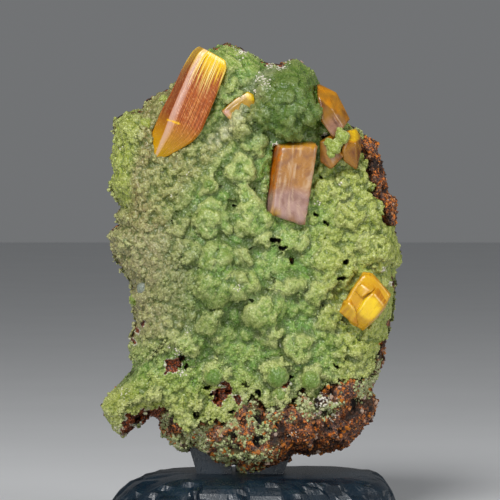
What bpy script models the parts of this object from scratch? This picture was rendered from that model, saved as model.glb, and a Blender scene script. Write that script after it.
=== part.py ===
"""Wulfenite crystals on a green mimetite crust over limonite, on a dark display stand.

Metres, +Z up. The origin is the middle of the stand's flat underside, and the crust faces -Y.
Lengths below are in millimetres, as measured on the specimen, and MM turns them to metres.
"""

import math

import bmesh
import bpy
import numpy as np
from mathutils import Matrix, Vector

MM = 0.001
GAP = 0.3

# The specimen's outline seen from the front, as (x, z), clockwise from its highest corner
OUTLINE = [
    (-4.4, 84.4), (-0.9, 82.8), (2.5, 80.9), (4.9, 80.6), (7.2, 81.6), (8.4, 81.3),
    (10.9, 79.0), (11.6, 77.7), (13.3, 74.9), (15.4, 71.1), (17.6, 69.7), (20.4, 67.6),
    (21.8, 66.3), (23.0, 63.0), (23.7, 60.0), (24.0, 57.7), (25.4, 56.7), (25.6, 55.3),
    (25.3, 50.9), (26.5, 46.5), (26.5, 45.5), (25.4, 44.1), (25.4, 40.7), (24.6, 34.7),
    (23.7, 31.2), (22.6, 26.1), (21.1, 23.2), (21.9, 20.9), (21.6, 18.4), (19.5, 16.0),
    (17.4, 13.3), (14.2, 12.1), (11.6, 11.8), (10.0, 11.2), (7.9, 11.8), (4.4, 9.5),
    (0.0, 7.9), (-1.8, 8.4), (-2.8, 9.8), (-6.0, 9.8), (-7.9, 11.1), (-10.2, 12.8),
    (-11.9, 11.9), (-14.9, 14.2), (-16.1, 15.1), (-16.1, 17.4), (-17.2, 18.1), (-18.3, 18.3),
    (-19.7, 18.0), (-20.8, 16.4), (-22.6, 14.6), (-24.0, 15.1), (-26.1, 18.3), (-26.5, 19.8),
    (-26.0, 21.4), (-23.0, 24.2), (-20.9, 25.3), (-20.9, 27.6), (-21.8, 30.2), (-20.5, 35.1),
    (-21.5, 39.8), (-20.9, 41.1), (-23.2, 44.8), (-24.9, 47.6), (-25.3, 51.0), (-23.5, 52.0),
    (-24.4, 53.7), (-23.2, 55.3), (-25.1, 59.3), (-24.4, 61.4), (-24.9, 62.7), (-24.2, 67.0),
    (-24.6, 70.7), (-22.5, 72.0), (-19.5, 72.7), (-19.0, 74.1), (-16.7, 75.3), (-14.9, 75.8),
    (-13.7, 77.4), (-11.0, 79.9), (-8.6, 82.7), (-6.5, 83.5),
]  # fmt: skip
CENTRE = (-0.3, 45.8)

# Rounded lobes of the crust, as (x, z, radius, rise), from the top down
LOBES = [
    (-4.7, 80.4, 2.4, 0.9), (6.7, 74.2, 6.6, 3.6), (8.8, 77.5, 3.0, 3.9), (10.3, 72.1, 3.2, 4.6),
    (6.7, 69.7, 2.9, 4.2), (3.4, 74.0, 3.0, 3.3), (-3.9, 76.0, 2.6, 0.8), (-21.4, 69.0, 2.4, 0.8),
    (0.5, 66.2, 2.4, 1.6), (-2.1, 62.0, 2.7, 1.8), (-7.4, 59.7, 2.0, 1.3), (-1.2, 58.2, 2.4, 1.5),
    (15.6, 58.4, 2.0, 1.1), (17.2, 54.1, 2.6, 1.4), (-15.3, 54.1, 2.6, 1.0), (-7.0, 53.4, 3.5, 2.6),
    (-0.5, 54.2, 3.7, 2.8), (-12.5, 51.8, 1.8, 1.2), (2.3, 50.2, 1.9, 1.6), (7.2, 49.4, 2.7, 1.5),
    (22.1, 47.9, 3.2, 1.6), (-11.6, 47.2, 2.5, 1.8), (-1.2, 47.4, 2.1, 2.0), (-6.3, 46.5, 3.5, 2.9),
    (14.2, 45.3, 4.2, 1.7), (-6.5, 42.1, 3.9, 3.5), (-1.4, 41.6, 3.1, 3.3), (4.6, 41.2, 1.9, 2.1),
    (7.0, 41.6, 2.5, 2.2), (11.9, 40.9, 2.5, 1.7), (1.9, 37.2, 3.8, 3.2), (13.9, 36.3, 2.8, 1.6),
    (-7.4, 34.7, 3.1, 2.3), (3.3, 33.4, 2.5, 2.3), (-15.1, 33.2, 3.0, 1.8), (-10.4, 31.9, 2.7, 1.9),
    (8.4, 31.2, 2.7, 1.8), (17.2, 31.2, 2.8, 1.4), (-6.0, 26.9, 2.6, 2.2), (4.4, 26.7, 2.7, 2.5),
    (10.5, 26.0, 2.0, 1.7), (5.6, 22.9, 2.2, 1.7), (-17.2, 22.6, 1.8, 1.3), (-24.2, 21.0, 2.4, 1.4),
    (-23.0, 17.0, 2.2, 1.3), (-10.2, 21.6, 1.5, 1.2),
]  # fmt: skip

# Broad swells of the front face, as (x, z, half width, height towards the viewer)
SWELLS = [(-4.0, 42.0, 10.0, 3.4), (7.5, 74.0, 5.5, 2.6), (6.0, 15.0, 9.0, 2.6), (-21.0, 20.0, 5.0, 1.0)]
FACE_LEVEL = -7.6
FACE_LEAN = 0.085
BACK_LEVEL = 13.5
RIM_LEVEL = 2.6
FRONT_EDGE = 6.0
BACK_EDGE = 11.0
CRUST_THICKNESS = 4.2
BARE_DEPTH = -7.0

# Where the crust ends and limonite shows: its lower border as (x, z), its right border as (z, x)
LOWER_BORDER = [(-17.2, 0.0), (-15.6, 19.0), (-11.8, 16.2), (-4.5, 17.0), (-0.8, 21.2), (8.4, 21.2),
                (14.0, 23.2), (21.5, 25.2)]  # fmt: skip
RIGHT_BORDER = [(24.0, 21.4), (26.0, 21.8), (31.2, 23.0), (36.5, 32.0), (49.5, 32.0), (52.3, 24.4),
                (56.2, 24.0), (57.9, 22.0), (62.3, 21.6), (67.0, 19.2), (72.0, 32.0)]  # fmt: skip

# Rings and rays of the stone's surface, and how many triangles it keeps
ROUGH_CELLS = (38, 250)
SPECIMEN_TRIANGLES = 5600

# The upper left crystal, as (along its axis, left side, right side, ridge's share of the width, ridge level)
BARREL_STATIONS = [
    (-0.8, -0.8, 0.7, 0.50, -9.8), (0.2, -1.9, 1.4, 0.50, -10.4), (2.2, -2.7, 2.8, 0.44, -11.3),
    (4.2, -3.1, 4.3, 0.36, -12.0), (6.5, -3.3, 4.8, 0.31, -12.5), (10.0, -3.3, 4.5, 0.28, -12.9),
    (15.0, -3.6, 3.9, 0.26, -13.3), (18.6, -3.4, 3.4, 0.25, -13.4), (19.3, -2.9, 2.7, 0.27, -13.0),
]  # fmt: skip

# Corners of the other crystals, as (x, y, z)
CENTRE_BLOCK = [
    (4.9, -10.6, 66.0), (11.55, -10.2, 66.5), (9.3, -9.7, 51.8), (3.0, -10.1, 52.8),
    (3.7, -5.6, 66.5), (10.5, -5.4, 67.0), (8.3, -5.4, 51.6), (1.9, -5.6, 53.0),
]  # fmt: skip
UPPER_SMALL_FACE = [
    (-5.4, -9.2, 72.3), (-2.9, -8.9, 74.4), (-0.7, -8.7, 75.7), (0.3, -9.0, 75.1),
    (0.6, -9.2, 73.0), (-3.8, -9.6, 70.6),
]  # fmt: skip
UPPER_RIGHT_FACES = [
    [(11.4, -8.8, 74.9), (13.9, -9.0, 72.5), (16.0, -8.6, 69.5), (14.4, -8.8, 67.2), (12.0, -9.2, 70.5),
     (11.4, -6.2, 77.2), (14.8, -6.2, 75.5), (17.2, -5.8, 70.8)],
    [(16.85, -7.6, 68.8), (18.25, -6.4, 69.2), (19.0, -6.6, 67.9), (18.1, -9.2, 66.7), (16.5, -9.4, 67.0),
     (15.8, -9.6, 65.1), (16.0, -9.0, 63.5), (18.3, -8.2, 61.9), (19.1, -7.4, 65.5), (14.6, -5.8, 68.4)],
    [(11.8, -9.0, 67.0), (13.6, -9.4, 66.8), (15.9, -9.4, 64.3), (14.1, -9.2, 62.3), (13.6, -8.9, 62.1),
     (11.9, -8.2, 63.4), (16.6, -6.0, 66.4), (14.6, -6.0, 68.6)],
]  # fmt: skip
LOWER_RIGHT_FACES = [
    [(18.3, -10.6, 37.6), (19.6, -10.9, 39.6), (21.0, -10.8, 40.7), (23.0, -10.2, 38.2), (21.3, -10.2, 36.0),
     (20.6, -10.3, 35.4), (22.5, -8.2, 42.3), (24.4, -7.6, 40.2), (23.3, -7.8, 37.7), (21.7, -8.0, 35.8),
     (19.4, -8.6, 33.8), (17.2, -9.0, 35.5)],
    [(17.7, -9.4, 41.0), (19.1, -9.8, 42.0), (20.95, -10.4, 40.8), (19.1, -10.2, 39.7), (18.8, -8.2, 43.2),
     (19.4, -7.8, 44.2), (21.1, -7.4, 43.9), (22.5, -7.6, 42.4)],
    [(15.2, -9.0, 37.2), (16.0, -9.2, 39.2), (17.2, -9.4, 39.6), (16.7, -10.0, 38.8), (18.1, -10.5, 37.5),
     (17.2, -9.6, 35.5), (18.6, -9.2, 34.6)],
]  # fmt: skip

# How far back each of the joined blocks reaches
BLOCK_BACKS = [-3.0, -3.4, -3.9]

STAND_TOP = 8.0
STAND_SIDES = 40
POST_TOP = 17.0
STAND_DEPTH = 37.0
STAND_RIGHT = 26.0
STAND_LEFT = -25.6

# The base's rings from the underside up, as (inset, height, chip inwards, chip down, slope along x)
SLAB_RINGS = [
    (0.7, 0.0, 0.0, 0.0, 0.0), (0.0, 1.5, 0.6, 0.6, 0.0), (0.9, 4.6, 1.1, 1.0, 0.0),
    (2.6, 7.6, 1.2, 1.4, 0.03), (7.0, STAND_TOP, 0.6, 0.0, 0.0),
]  # fmt: skip

# The posts, as (name, foot from x to x, head from x to x, front y, back y)
POSTS = [
    ("stand_post_left", (-9.7, -3.5), (-12.3, -4.9), -3.0, 3.5),
    ("stand_pane_middle", (-2.9, -2.1), (-3.6, -2.1), 0.0, 9.0),
    ("stand_post_right", (-0.9, 5.5), (-1.3, 9.0), -3.5, 3.5),
]

COLOURS = {
    "mimetite": ((0.30, 0.37, 0.12), 0.55),
    "limonite": ((0.16, 0.055, 0.018), 0.8),
    "wulfenite": ((0.70, 0.27, 0.02), 0.2),
    "acrylic": ((0.02, 0.032, 0.040), 0.3),
}


def clear_scene():
    for obj in list(bpy.data.objects):
        bpy.data.objects.remove(obj, do_unlink=True)


def material(name):
    """One Principled material for each substance, shared by its pieces."""
    found = bpy.data.materials.get(name)
    if found:
        return found
    colour, roughness = COLOURS[name]
    made = bpy.data.materials.new(name)
    made.use_nodes = True
    shader = made.node_tree.nodes["Principled BSDF"]
    shader.inputs["Base Color"].default_value = (*colour, 1.0)
    shader.inputs["Roughness"].default_value = roughness
    shader.inputs["Metallic"].default_value = 0.0
    return made


def mesh_object(name, points, faces, substance):
    """An object from points in millimetres."""
    mesh = bpy.data.meshes.new(name)
    mesh.from_pydata([tuple(p) for p in np.asarray(points, float) * MM], [], faces)
    made = bpy.data.objects.new(name, mesh)
    mesh.materials.append(material(substance))
    bpy.context.scene.collection.objects.link(made)
    return made


def helper(obj):
    """A cutter or a guide: kept out of the finished object."""
    obj.hide_render = True
    obj.display_type = "WIRE"
    return obj


def apply_modifiers(obj):
    """Replaces the object's mesh by what its modifiers make of it."""
    graph = bpy.context.evaluated_depsgraph_get()
    mesh = bpy.data.meshes.new_from_object(obj.evaluated_get(graph))
    obj.modifiers.clear()
    obj.data = mesh
    return obj


def boolean(obj, other, operation):
    """Cuts or joins obj with other by an exact Boolean, and applies it."""
    cut = obj.modifiers.new(operation.lower(), "BOOLEAN")
    cut.operation = operation
    cut.object = other
    cut.solver = "EXACT"
    return apply_modifiers(obj)


def shifted_copy(obj, name, shift=(0.0, 0.0, 0.0)):
    """A copy of a mesh object, moved by shift in millimetres."""
    made = bpy.data.objects.new(name, obj.data.copy())
    made.data.transform(Matrix.Translation(Vector(shift) * MM))
    bpy.context.scene.collection.objects.link(made)
    return made


def grown_copy(obj, name, by):
    """A copy with each point pushed out along its normal, in millimetres."""
    made = shifted_copy(obj, name)
    push = made.modifiers.new("grow", "DISPLACE")
    push.mid_level = 0.0
    push.strength = by * MM
    apply_modifiers(made)
    tidy_mesh(made)
    return helper(made)


def smooth(t):
    """0 to 1 with a soft start and end."""
    t = np.clip(t, 0.0, 1.0)
    return t * t * (3.0 - 2.0 * t)


def cell_random(i, j, k, salt):
    """A repeatable random number from 0 to 1 for each whole-number cell."""
    mask = 0xFFFFFFFF
    n = (i * 73856093) ^ (j * 19349663) ^ (k * 83492791) ^ (salt * 668265263)
    n = (n ^ (n >> 13)) & mask
    n = (n * 1274126177) & mask
    n = ((n ^ (n >> 16)) * 2246822519) & mask
    return ((n ^ (n >> 15)) & 0xFFFFFF) / float(0x1000000)


def domes(points, cell, salt):
    """Height of close-packed domes: one ball is set at random in each cell, and the highest ball wins."""
    q = points / cell
    base = np.floor(q).astype(np.int64)
    best = np.zeros(len(points))
    for step in np.ndindex(3, 3, 3):
        i, j, k = (base + np.array(step) - 1).T
        centre = np.stack([i, j, k], axis=1) + 0.5
        centre = centre + 0.7 * (np.stack([cell_random(i, j, k, salt + n) for n in range(3)], axis=1) - 0.5)
        radius = 0.55 + 0.35 * cell_random(i, j, k, salt + 3)
        away = ((q - centre) ** 2).sum(axis=1)
        best = np.maximum(best, np.sqrt(np.maximum(radius**2 - away, 0.0)))
    return best * cell


def facets(points, cell, salt):
    """Broken-rock relief: blunt leaning pyramids are set at random, and the highest wins."""
    q = points / cell
    base = np.floor(q).astype(np.int64)
    best = np.full(len(points), -1.0)
    for step in np.ndindex(3, 3, 3):
        i, j, k = (base + np.array(step) - 1).T
        chance = [cell_random(i, j, k, salt + n) for n in range(6)]
        away = q - np.stack([i + chance[0], j + chance[1], k + chance[2]], axis=1)
        lean = (chance[3] - 0.5) * away[:, 0] + (chance[4] - 0.5) * away[:, 2]
        slope = np.abs(away[:, 0] + 0.4 * away[:, 2]) + np.abs(away[:, 2] - 0.4 * away[:, 0])
        slope = slope + np.abs(away[:, 1])
        best = np.maximum(best, 0.15 + 0.5 * chance[5] + 0.9 * lean - 0.6 * slope)
    return best * cell


def rim_radius(angle):
    """The outline's distance from CENTRE in each direction."""
    corners = np.array(OUTLINE) - CENTRE
    at = np.arctan2(corners[:, 1], corners[:, 0])
    return np.interp(angle, np.sort(at), np.hypot(*corners.T)[np.argsort(at)], period=2 * np.pi)


def rim_distance(x, z):
    """How far each point lies from the outline."""
    start = np.array(OUTLINE)
    along = np.roll(start, -1, axis=0) - start
    point = np.stack([x, z], axis=1)[:, None, :] - start
    share = np.clip((point * along).sum(axis=2) / (along**2).sum(axis=1), 0.0, 1.0)
    return np.linalg.norm(point - share[:, :, None] * along, axis=2).min(axis=1)


def edge_curve(distance, width):
    """0 at the outline and 1 from the given width inwards, rounded over like a pebble's edge."""
    return (1.0 - (1.0 - np.clip(distance / width, 0.0, 1.0)) ** 2.4) ** 0.55


def face_level(x, z):
    """Where the front face lies before its lobes: a leaning plane with broad swells."""
    level = FACE_LEVEL + FACE_LEAN * x
    for at_x, at_z, width, height in SWELLS:
        level = level - height * np.exp(-((x - at_x) ** 2 + (z - at_z) ** 2) / width**2)
    return level


def lobe_rise(x, z):
    """Each lobe is the cap of an ellipsoid, and the highest cap wins."""
    rise = np.zeros(len(x))
    for at_x, at_z, radius, height in LOBES:
        away = ((x - at_x) ** 2 + (z - at_z) ** 2) / radius**2
        rise = np.maximum(rise, height * np.sqrt(np.maximum(1.0 - away, 0.0)))
    return rise


def bare(x, z):
    """1 where limonite shows at the front, 0 where the crust covers it."""
    lower = np.interp(x, *np.array(LOWER_BORDER).T) - z
    right = x - np.interp(z, *np.array(RIGHT_BORDER).T)
    return np.maximum(smooth(lower / 2.4 + 0.5), smooth(right / 1.6 + 0.5))


def grid_faces(index):
    """Quads over a rectangular array of point numbers."""
    a, b, c, d = index[:-1, :-1], index[1:, :-1], index[1:, 1:], index[:-1, 1:]
    return np.stack([a.ravel(), b.ravel(), c.ravel(), d.ravel()], axis=1).tolist()


def closed_round(index):
    """The point numbers of rings, with the first column again at the end."""
    return np.concatenate([index, index[:, :1]], axis=1)


def disc_faces(pole, rings):
    """Triangles round the pole, then quads out to the last ring."""
    first = closed_round(rings[:1])[0]
    fan = [[pole, int(a), int(b)] for a, b in zip(first[:-1], first[1:])]
    return fan + grid_faces(closed_round(rings))


def specimen_body():
    """The whole stone as one closed body: a lobed front and a broken back that share the outline."""
    ring_count, ray_count = ROUGH_CELLS
    turn = np.linspace(0.0, 2 * np.pi, ray_count, endpoint=False)
    angle, share = np.meshgrid(turn, np.linspace(0.0, 1.0, ring_count + 1)[1:])
    calm = np.mean([rim_radius(angle + spread) for spread in np.linspace(-0.4, 0.4, 15)], axis=0)
    radius = share * (calm + (rim_radius(angle) - calm) * share**5)
    radius = np.concatenate([[0.0], radius.ravel()])
    angle = np.concatenate([[0.0], angle.ravel()])
    x = CENTRE[0] + radius * np.cos(angle)
    z = CENTRE[1] + radius * np.sin(angle)
    covered = 1.0 - bare(x, z)
    deep = rim_distance(x, z)
    front = face_level(x, z) - covered * lobe_rise(x, z)
    back = BACK_LEVEL - 0.04 * np.abs(z - CENTRE[1]) ** 1.3
    front_points = np.stack([x, RIM_LEVEL + (front - RIM_LEVEL) * edge_curve(deep, FRONT_EDGE), z], axis=1)
    back_points = np.stack([x, RIM_LEVEL + (back - RIM_LEVEL) * edge_curve(deep, BACK_EDGE), z], axis=1)
    inside = smooth(deep / 3.0)
    front_points[:, 1] -= inside * covered * 0.3 * domes(front_points, 4.2, 11)
    front_points[:, 1] -= inside * (1.0 - covered) * 0.7 * facets(front_points, 5.0, 31)
    back_points[:, 1] += inside * (0.8 * facets(back_points, 11.0, 41) + 0.6 * facets(back_points, 5.0, 51))
    rings = np.arange(1, len(x)).reshape(ring_count, ray_count)
    rings_behind = rings + len(x)
    rings_behind[-1] = rings[-1]
    faces = disc_faces(0, rings) + disc_faces(len(x), rings_behind)
    body = mesh_object("specimen", np.concatenate([front_points, back_points]), faces, "limonite")
    tidy_mesh(body)
    fewer = body.modifiers.new("fewer", "DECIMATE")
    fewer.ratio = SPECIMEN_TRIANGLES / len(body.data.polygons)
    return apply_modifiers(body)


def tidy_mesh(obj):
    """Drops loose points, splits quads and turns every face outwards."""
    mesh = bmesh.new()
    mesh.from_mesh(obj.data)
    bmesh.ops.delete(mesh, geom=[v for v in mesh.verts if not v.link_faces], context="VERTS")
    bmesh.ops.triangulate(mesh, faces=mesh.faces[:])
    bmesh.ops.recalc_face_normals(mesh, faces=mesh.faces[:])
    mesh.to_mesh(obj.data)
    mesh.free()


def in_front_of_contact():
    """A closed block that fills all the space in front of the crust's underside."""
    x, z = np.meshgrid(np.linspace(-31.0, 31.0, 21), np.linspace(3.0, 90.0, 29), indexing="ij")
    bareness = bare(x.ravel(), z.ravel())
    depth = CRUST_THICKNESS + (BARE_DEPTH - CRUST_THICKNESS) * bareness
    underside = np.stack([x.ravel(), face_level(x.ravel(), z.ravel()) + depth, z.ravel()], axis=1)
    edge = rim_strip(x.shape)
    lid = underside[edge] * (1.0, 0.0, 1.0) + (0.0, -45.0, 0.0)
    index = np.arange(x.size).reshape(x.shape)
    faces = grid_faces(index)
    count = len(edge)
    faces += [[edge[n], edge[(n + 1) % count], x.size + (n + 1) % count, x.size + n] for n in range(count)]
    faces.append([x.size + n for n in range(count)])
    block = mesh_object("in_front_of_contact", np.concatenate([underside, lid]), faces, "limonite")
    tidy_mesh(block)
    return helper(block)


def rim_strip(shape):
    """The border points of a grid, in order round it."""
    index = np.arange(shape[0] * shape[1]).reshape(shape)
    return np.concatenate([index[:-1, 0], index[-1, :-1], index[:0:-1, -1], index[0, :0:-1]]).tolist()


def ring_stack(name, rings, substance):
    """A closed body through rings of points, with a flat cap at each end."""
    rings = np.asarray(rings, float)
    count = rings.shape[1]
    index = np.arange(rings.shape[0] * count).reshape(rings.shape[0], count)
    faces = grid_faces(closed_round(index))
    faces += [index[0].tolist(), index[-1].tolist()]
    body = mesh_object(name, rings.reshape(-1, 3), faces, substance)
    tidy_mesh(body)
    return body


def hull_object(name, corners, substance):
    """A flat-faced body: the tightest closed shape round its corners."""
    mesh = bmesh.new()
    for corner in corners:
        mesh.verts.new(Vector(corner) * MM)
    bmesh.ops.convex_hull(mesh, input=mesh.verts[:])
    bmesh.ops.delete(mesh, geom=[v for v in mesh.verts if not v.link_faces], context="VERTS")
    bmesh.ops.dissolve_limit(mesh, angle_limit=math.radians(4.0), verts=mesh.verts[:], edges=mesh.edges[:])
    data = bpy.data.meshes.new(name)
    mesh.to_mesh(data)
    mesh.free()
    made = bpy.data.objects.new(name, data)
    data.materials.append(material(substance))
    bpy.context.scene.collection.objects.link(made)
    tidy_mesh(made)
    return made


def with_back(front, back_level):
    """Front corners, and the same corners again at the crystal's buried back."""
    return [*front, *[(x, back_level, z) for x, _, z in front]]


def upper_left_crystal():
    """The long barrel: a bevelled square section, one corner forward, that narrows to a blunt tip."""
    axis = Vector((0.480, 0.0, 0.877))
    across = Vector((0.877, 0.0, -0.480))
    foot = Vector((-16.1, 0.0, 65.1))
    rings = []
    for along, left, right, ridge, level in BARREL_STATIONS:
        width = right - left
        front = left + ridge * width
        side = 0.42 * (1.0 - ridge) * width + 1.2
        near = 0.28 * width
        bevel = 0.06 * width
        section = [
            (front - bevel, level + 0.25 * bevel), (front + bevel, level),
            (right - 0.5 * bevel, level + near), (right, level + near + bevel),
            (right - ridge * width, level + near + side), (left + 0.3 * width, level + near + side),
            (left, level + side), (left + 0.3 * bevel, level + side - bevel),
        ]  # fmt: skip
        rings.append([foot + axis * along + across * p + Vector((0.0, q, 0.0)) for p, q in section])
    return ring_stack("wulfenite_upper_left", rings, "wulfenite")


def joined_blocks(name, faces):
    """Crystals that grew into each other, joined in one body. Returns the separate blocks."""
    blocks = []
    for face, back in zip(faces, BLOCK_BACKS):
        block = hull_object(f"{name}_block_{len(blocks)}", with_back(face, back), "wulfenite")
        blocks.append(helper(block))
    joined = shifted_copy(blocks[0], name)
    for block in blocks[1:]:
        boolean(joined, block, "UNION")
    return blocks


def crystals():
    """The five wulfenite pieces. Returns the plain blocks they are made of, to cut their seats with."""
    single = [
        upper_left_crystal(),
        hull_object("wulfenite_upper_small", with_back(UPPER_SMALL_FACE, -4.6), "wulfenite"),
        hull_object("wulfenite_centre", CENTRE_BLOCK, "wulfenite"),
    ]
    upper_right = joined_blocks("wulfenite_upper_right", UPPER_RIGHT_FACES)
    lower_right = joined_blocks("wulfenite_lower_right", LOWER_RIGHT_FACES)
    return single + upper_right + lower_right


def slab_outline(angle):
    """The stand's footprint: a rounded rectangle with chips broken from its edge."""
    half_x = np.where(np.cos(angle) > 0, STAND_RIGHT, -STAND_LEFT)
    across = np.abs(np.cos(angle) / half_x) ** 4
    along = np.abs(np.sin(angle) * 2 / STAND_DEPTH) ** 4
    return (across + along) ** -0.25


def stand_base():
    """A thick slab with knapped edges, level in the middle where its posts stand."""
    angle = np.linspace(0.0, 2 * np.pi, STAND_SIDES, endpoint=False)
    number = np.arange(STAND_SIDES)
    foot = slab_outline(angle) - 0.9 * cell_random(number, 0 * number, 0 * number, 71)
    rings = []
    for ring, (inset, height, wander, drop, slope) in enumerate(SLAB_RINGS):
        chip = cell_random(number, 0 * number + ring, 0 * number, 81)
        reach = foot - inset - wander * chip
        ring_x = reach * np.cos(angle)
        ring_y = reach * np.sin(angle)
        rings.append(np.stack([ring_x, ring_y, height - drop * chip + slope * ring_x], axis=1))
    return ring_stack("stand_base", rings, "acrylic")


def stand_post(name, foot, head, near, far, stones):
    """A leaning plate whose top is cut to the stone it carries, with a fine gap."""
    corners = [(x, y, STAND_TOP + GAP) for x in foot for y in (near, far)]
    corners += [(x, y, POST_TOP) for x in head for y in (near + 0.5, far - 0.5)]
    post = hull_object(name, corners, "acrylic")
    for stone in stones:
        boolean(post, stone, "DIFFERENCE")
    keep_main_piece(post)
    return post


def keep_main_piece(obj):
    """Keeps the connected piece with the most points, and removes the crumbs a cut left."""
    mesh = bmesh.new()
    mesh.from_mesh(obj.data)
    pieces = []
    waiting = set(mesh.verts)
    while waiting:
        piece = set()
        edge = {waiting.pop()}
        while edge:
            piece |= edge
            edge = {e.other_vert(v) for v in edge for e in v.link_edges} - piece
        waiting -= piece
        pieces.append(piece)
    main_piece = max(pieces, key=len)
    bmesh.ops.delete(mesh, geom=[v for v in mesh.verts if v not in main_piece], context="VERTS")
    mesh.to_mesh(obj.data)
    mesh.free()


def main():
    clear_scene()
    specimen = helper(specimen_body())
    contact = in_front_of_contact()
    contact_behind = helper(shifted_copy(contact, "contact_behind", (0.0, 1.5 * GAP, 0.0)))
    crust = shifted_copy(specimen, "mimetite_crust")
    crust.data.materials.clear()
    crust.data.materials.append(material("mimetite"))
    boolean(crust, contact, "INTERSECT")
    matrix = shifted_copy(specimen, "limonite_matrix")
    boolean(matrix, contact_behind, "DIFFERENCE")
    for block in crystals():
        seat = grown_copy(block, block.name + "_seat", 1.7 * GAP)
        boolean(crust, seat, "DIFFERENCE")
        boolean(matrix, seat, "DIFFERENCE")
    keep_main_piece(crust)
    keep_main_piece(matrix)
    stand_base()
    lowered = helper(shifted_copy(specimen, "specimen_lowered", (0.0, 0.0, -GAP)))
    for name, foot, head, near, far in POSTS:
        stand_post(name, foot, head, near, far, (specimen, lowered))


main()
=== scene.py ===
# %% [markdown]
# # Wulfenite on mimetite, on its stand
#
# A mineral specimen: brown limonite rock, a green crust of mimetite over its front, and orange
# wulfenite crystals standing in the crust. A dark slab and short posts hold it upright.
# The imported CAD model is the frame. Each piece here is a finer surface laid over one of its solids.
# Lengths are in millimetres until a mesh is made.

import math

import bmesh
import bpy
import numpy as np
from mathutils import Euler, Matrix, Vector


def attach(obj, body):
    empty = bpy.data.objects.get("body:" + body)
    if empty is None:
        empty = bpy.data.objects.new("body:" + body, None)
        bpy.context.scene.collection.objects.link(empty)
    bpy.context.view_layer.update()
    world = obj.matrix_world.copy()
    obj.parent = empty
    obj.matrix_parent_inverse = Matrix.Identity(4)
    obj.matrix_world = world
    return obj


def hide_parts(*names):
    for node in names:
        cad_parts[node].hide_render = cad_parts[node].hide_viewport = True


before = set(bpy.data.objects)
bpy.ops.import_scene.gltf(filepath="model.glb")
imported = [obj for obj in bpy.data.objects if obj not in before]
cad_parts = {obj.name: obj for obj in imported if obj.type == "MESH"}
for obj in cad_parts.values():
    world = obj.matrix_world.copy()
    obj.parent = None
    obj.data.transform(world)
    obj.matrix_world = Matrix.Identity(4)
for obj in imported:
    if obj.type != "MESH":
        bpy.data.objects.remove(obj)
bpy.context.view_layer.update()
MM = 0.001
print("nodes:", sorted(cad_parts))

# %% [markdown]
# ## Camera
#
# The photograph is almost level with the stone and was taken from far away with a long lens,
# because the slab's top is hardly seen and nothing narrows towards the back. So the camera stands
# 600 mm off, two degrees up, and its lens takes in 88 mm. The colours are shown as they are,
# without a film curve, so that a picked hex value is what a well lit surface shows.

# %% Camera
VIEW_CENTRE = Vector((-0.35, -5.0, 47.9)) * MM
DISTANCE = 600.0 * MM
RISE = math.radians(2.0)
camera_data = bpy.data.cameras.new("camera")
camera_data.sensor_width = 36.0
camera_data.lens = 18.0 / (0.5 * 87.75 * MM / DISTANCE)
camera_data.clip_start = 0.01
camera = bpy.data.objects.new("camera", camera_data)
camera.location = VIEW_CENTRE + DISTANCE * Vector((0.0, -math.cos(RISE), math.sin(RISE)))
camera.rotation_euler = (VIEW_CENTRE - camera.location).to_track_quat("-Z", "Y").to_euler()
bpy.context.scene.collection.objects.link(camera)
bpy.context.scene.camera = camera
bpy.context.scene.view_settings.view_transform = "Standard"
print("lens in mm:", round(camera_data.lens, 1))

# %% [markdown]
# ## Colour and node helpers
#
# Colours are picked as sRGB hex, as on a screen, but a shader works in linear light, so one function
# turns one into the other. One more small function adds a node, sets it and wires it up. A stone's
# colour is built like paint: a base, and over it layers that each follow a number of the surface.

# %% Colour and node helpers
def shade(hex_colour):
    """sRGB hex to linear RGBA: a channel is divided by 12.92 when dark, else raised to 2.4."""
    srgb = np.array([int(hex_colour[n : n + 2], 16) for n in (1, 3, 5)]) / 255.0
    linear = np.where(srgb <= 0.04045, srgb / 12.92, ((srgb + 0.055) / 1.055) ** 2.4)
    return (*linear.tolist(), 1.0)


def add(tree, kind, inputs=None, out=0, **settings):
    """Adds a node with its settings. Inputs are values or other nodes' outputs. Returns one output."""
    node = tree.nodes.new("ShaderNode" + kind)
    for key, value in settings.items():
        setattr(node, key, value)
    for key, value in (inputs or {}).items():
        if isinstance(value, bpy.types.NodeSocket):
            tree.links.new(value, node.inputs[key])
        else:
            node.inputs[key].default_value = value
    return node.outputs[out]


def new_material(name):
    """A material, its node tree, its Principled shader, and Object coordinates in millimetres."""
    made = bpy.data.materials.new(name)
    made.use_nodes = True
    tree = made.node_tree
    place = add(tree, "TexCoord", out="Object")
    place = add(tree, "VectorMath", {0: place, 1: (1000.0,) * 3}, operation="MULTIPLY")
    return made, tree, tree.nodes["Principled BSDF"], place


def paint(tree, shader, base, layers):
    """A base colour under layers: a number, where it starts, where it is full, its share and its colour."""
    colour = shade(base)
    for number, start, full, share, hex_colour in layers:
        factor = add(tree, "MapRange", {0: number, 1: start, 2: full, 4: share})
        colour = add(tree, "Mix", {0: factor, 6: colour, 7: shade(hex_colour)}, 2, data_type="RGBA")
    tree.links.new(colour, shader.inputs["Base Color"])


def set_sockets(shader, values):
    """What is the same all over a surface goes straight on the shader's own sockets."""
    for key, value in values.items():
        shader.inputs[key].default_value = value


# %% [markdown]
# ## Mesh helpers
#
# Every surface below is a table of points worked out by numpy, so one function puts points and faces
# into a mesh at once, and stores the numbers that its material reads. A closed piece that would be
# inside out has a negative volume, and then all its faces are turned over.

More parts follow.
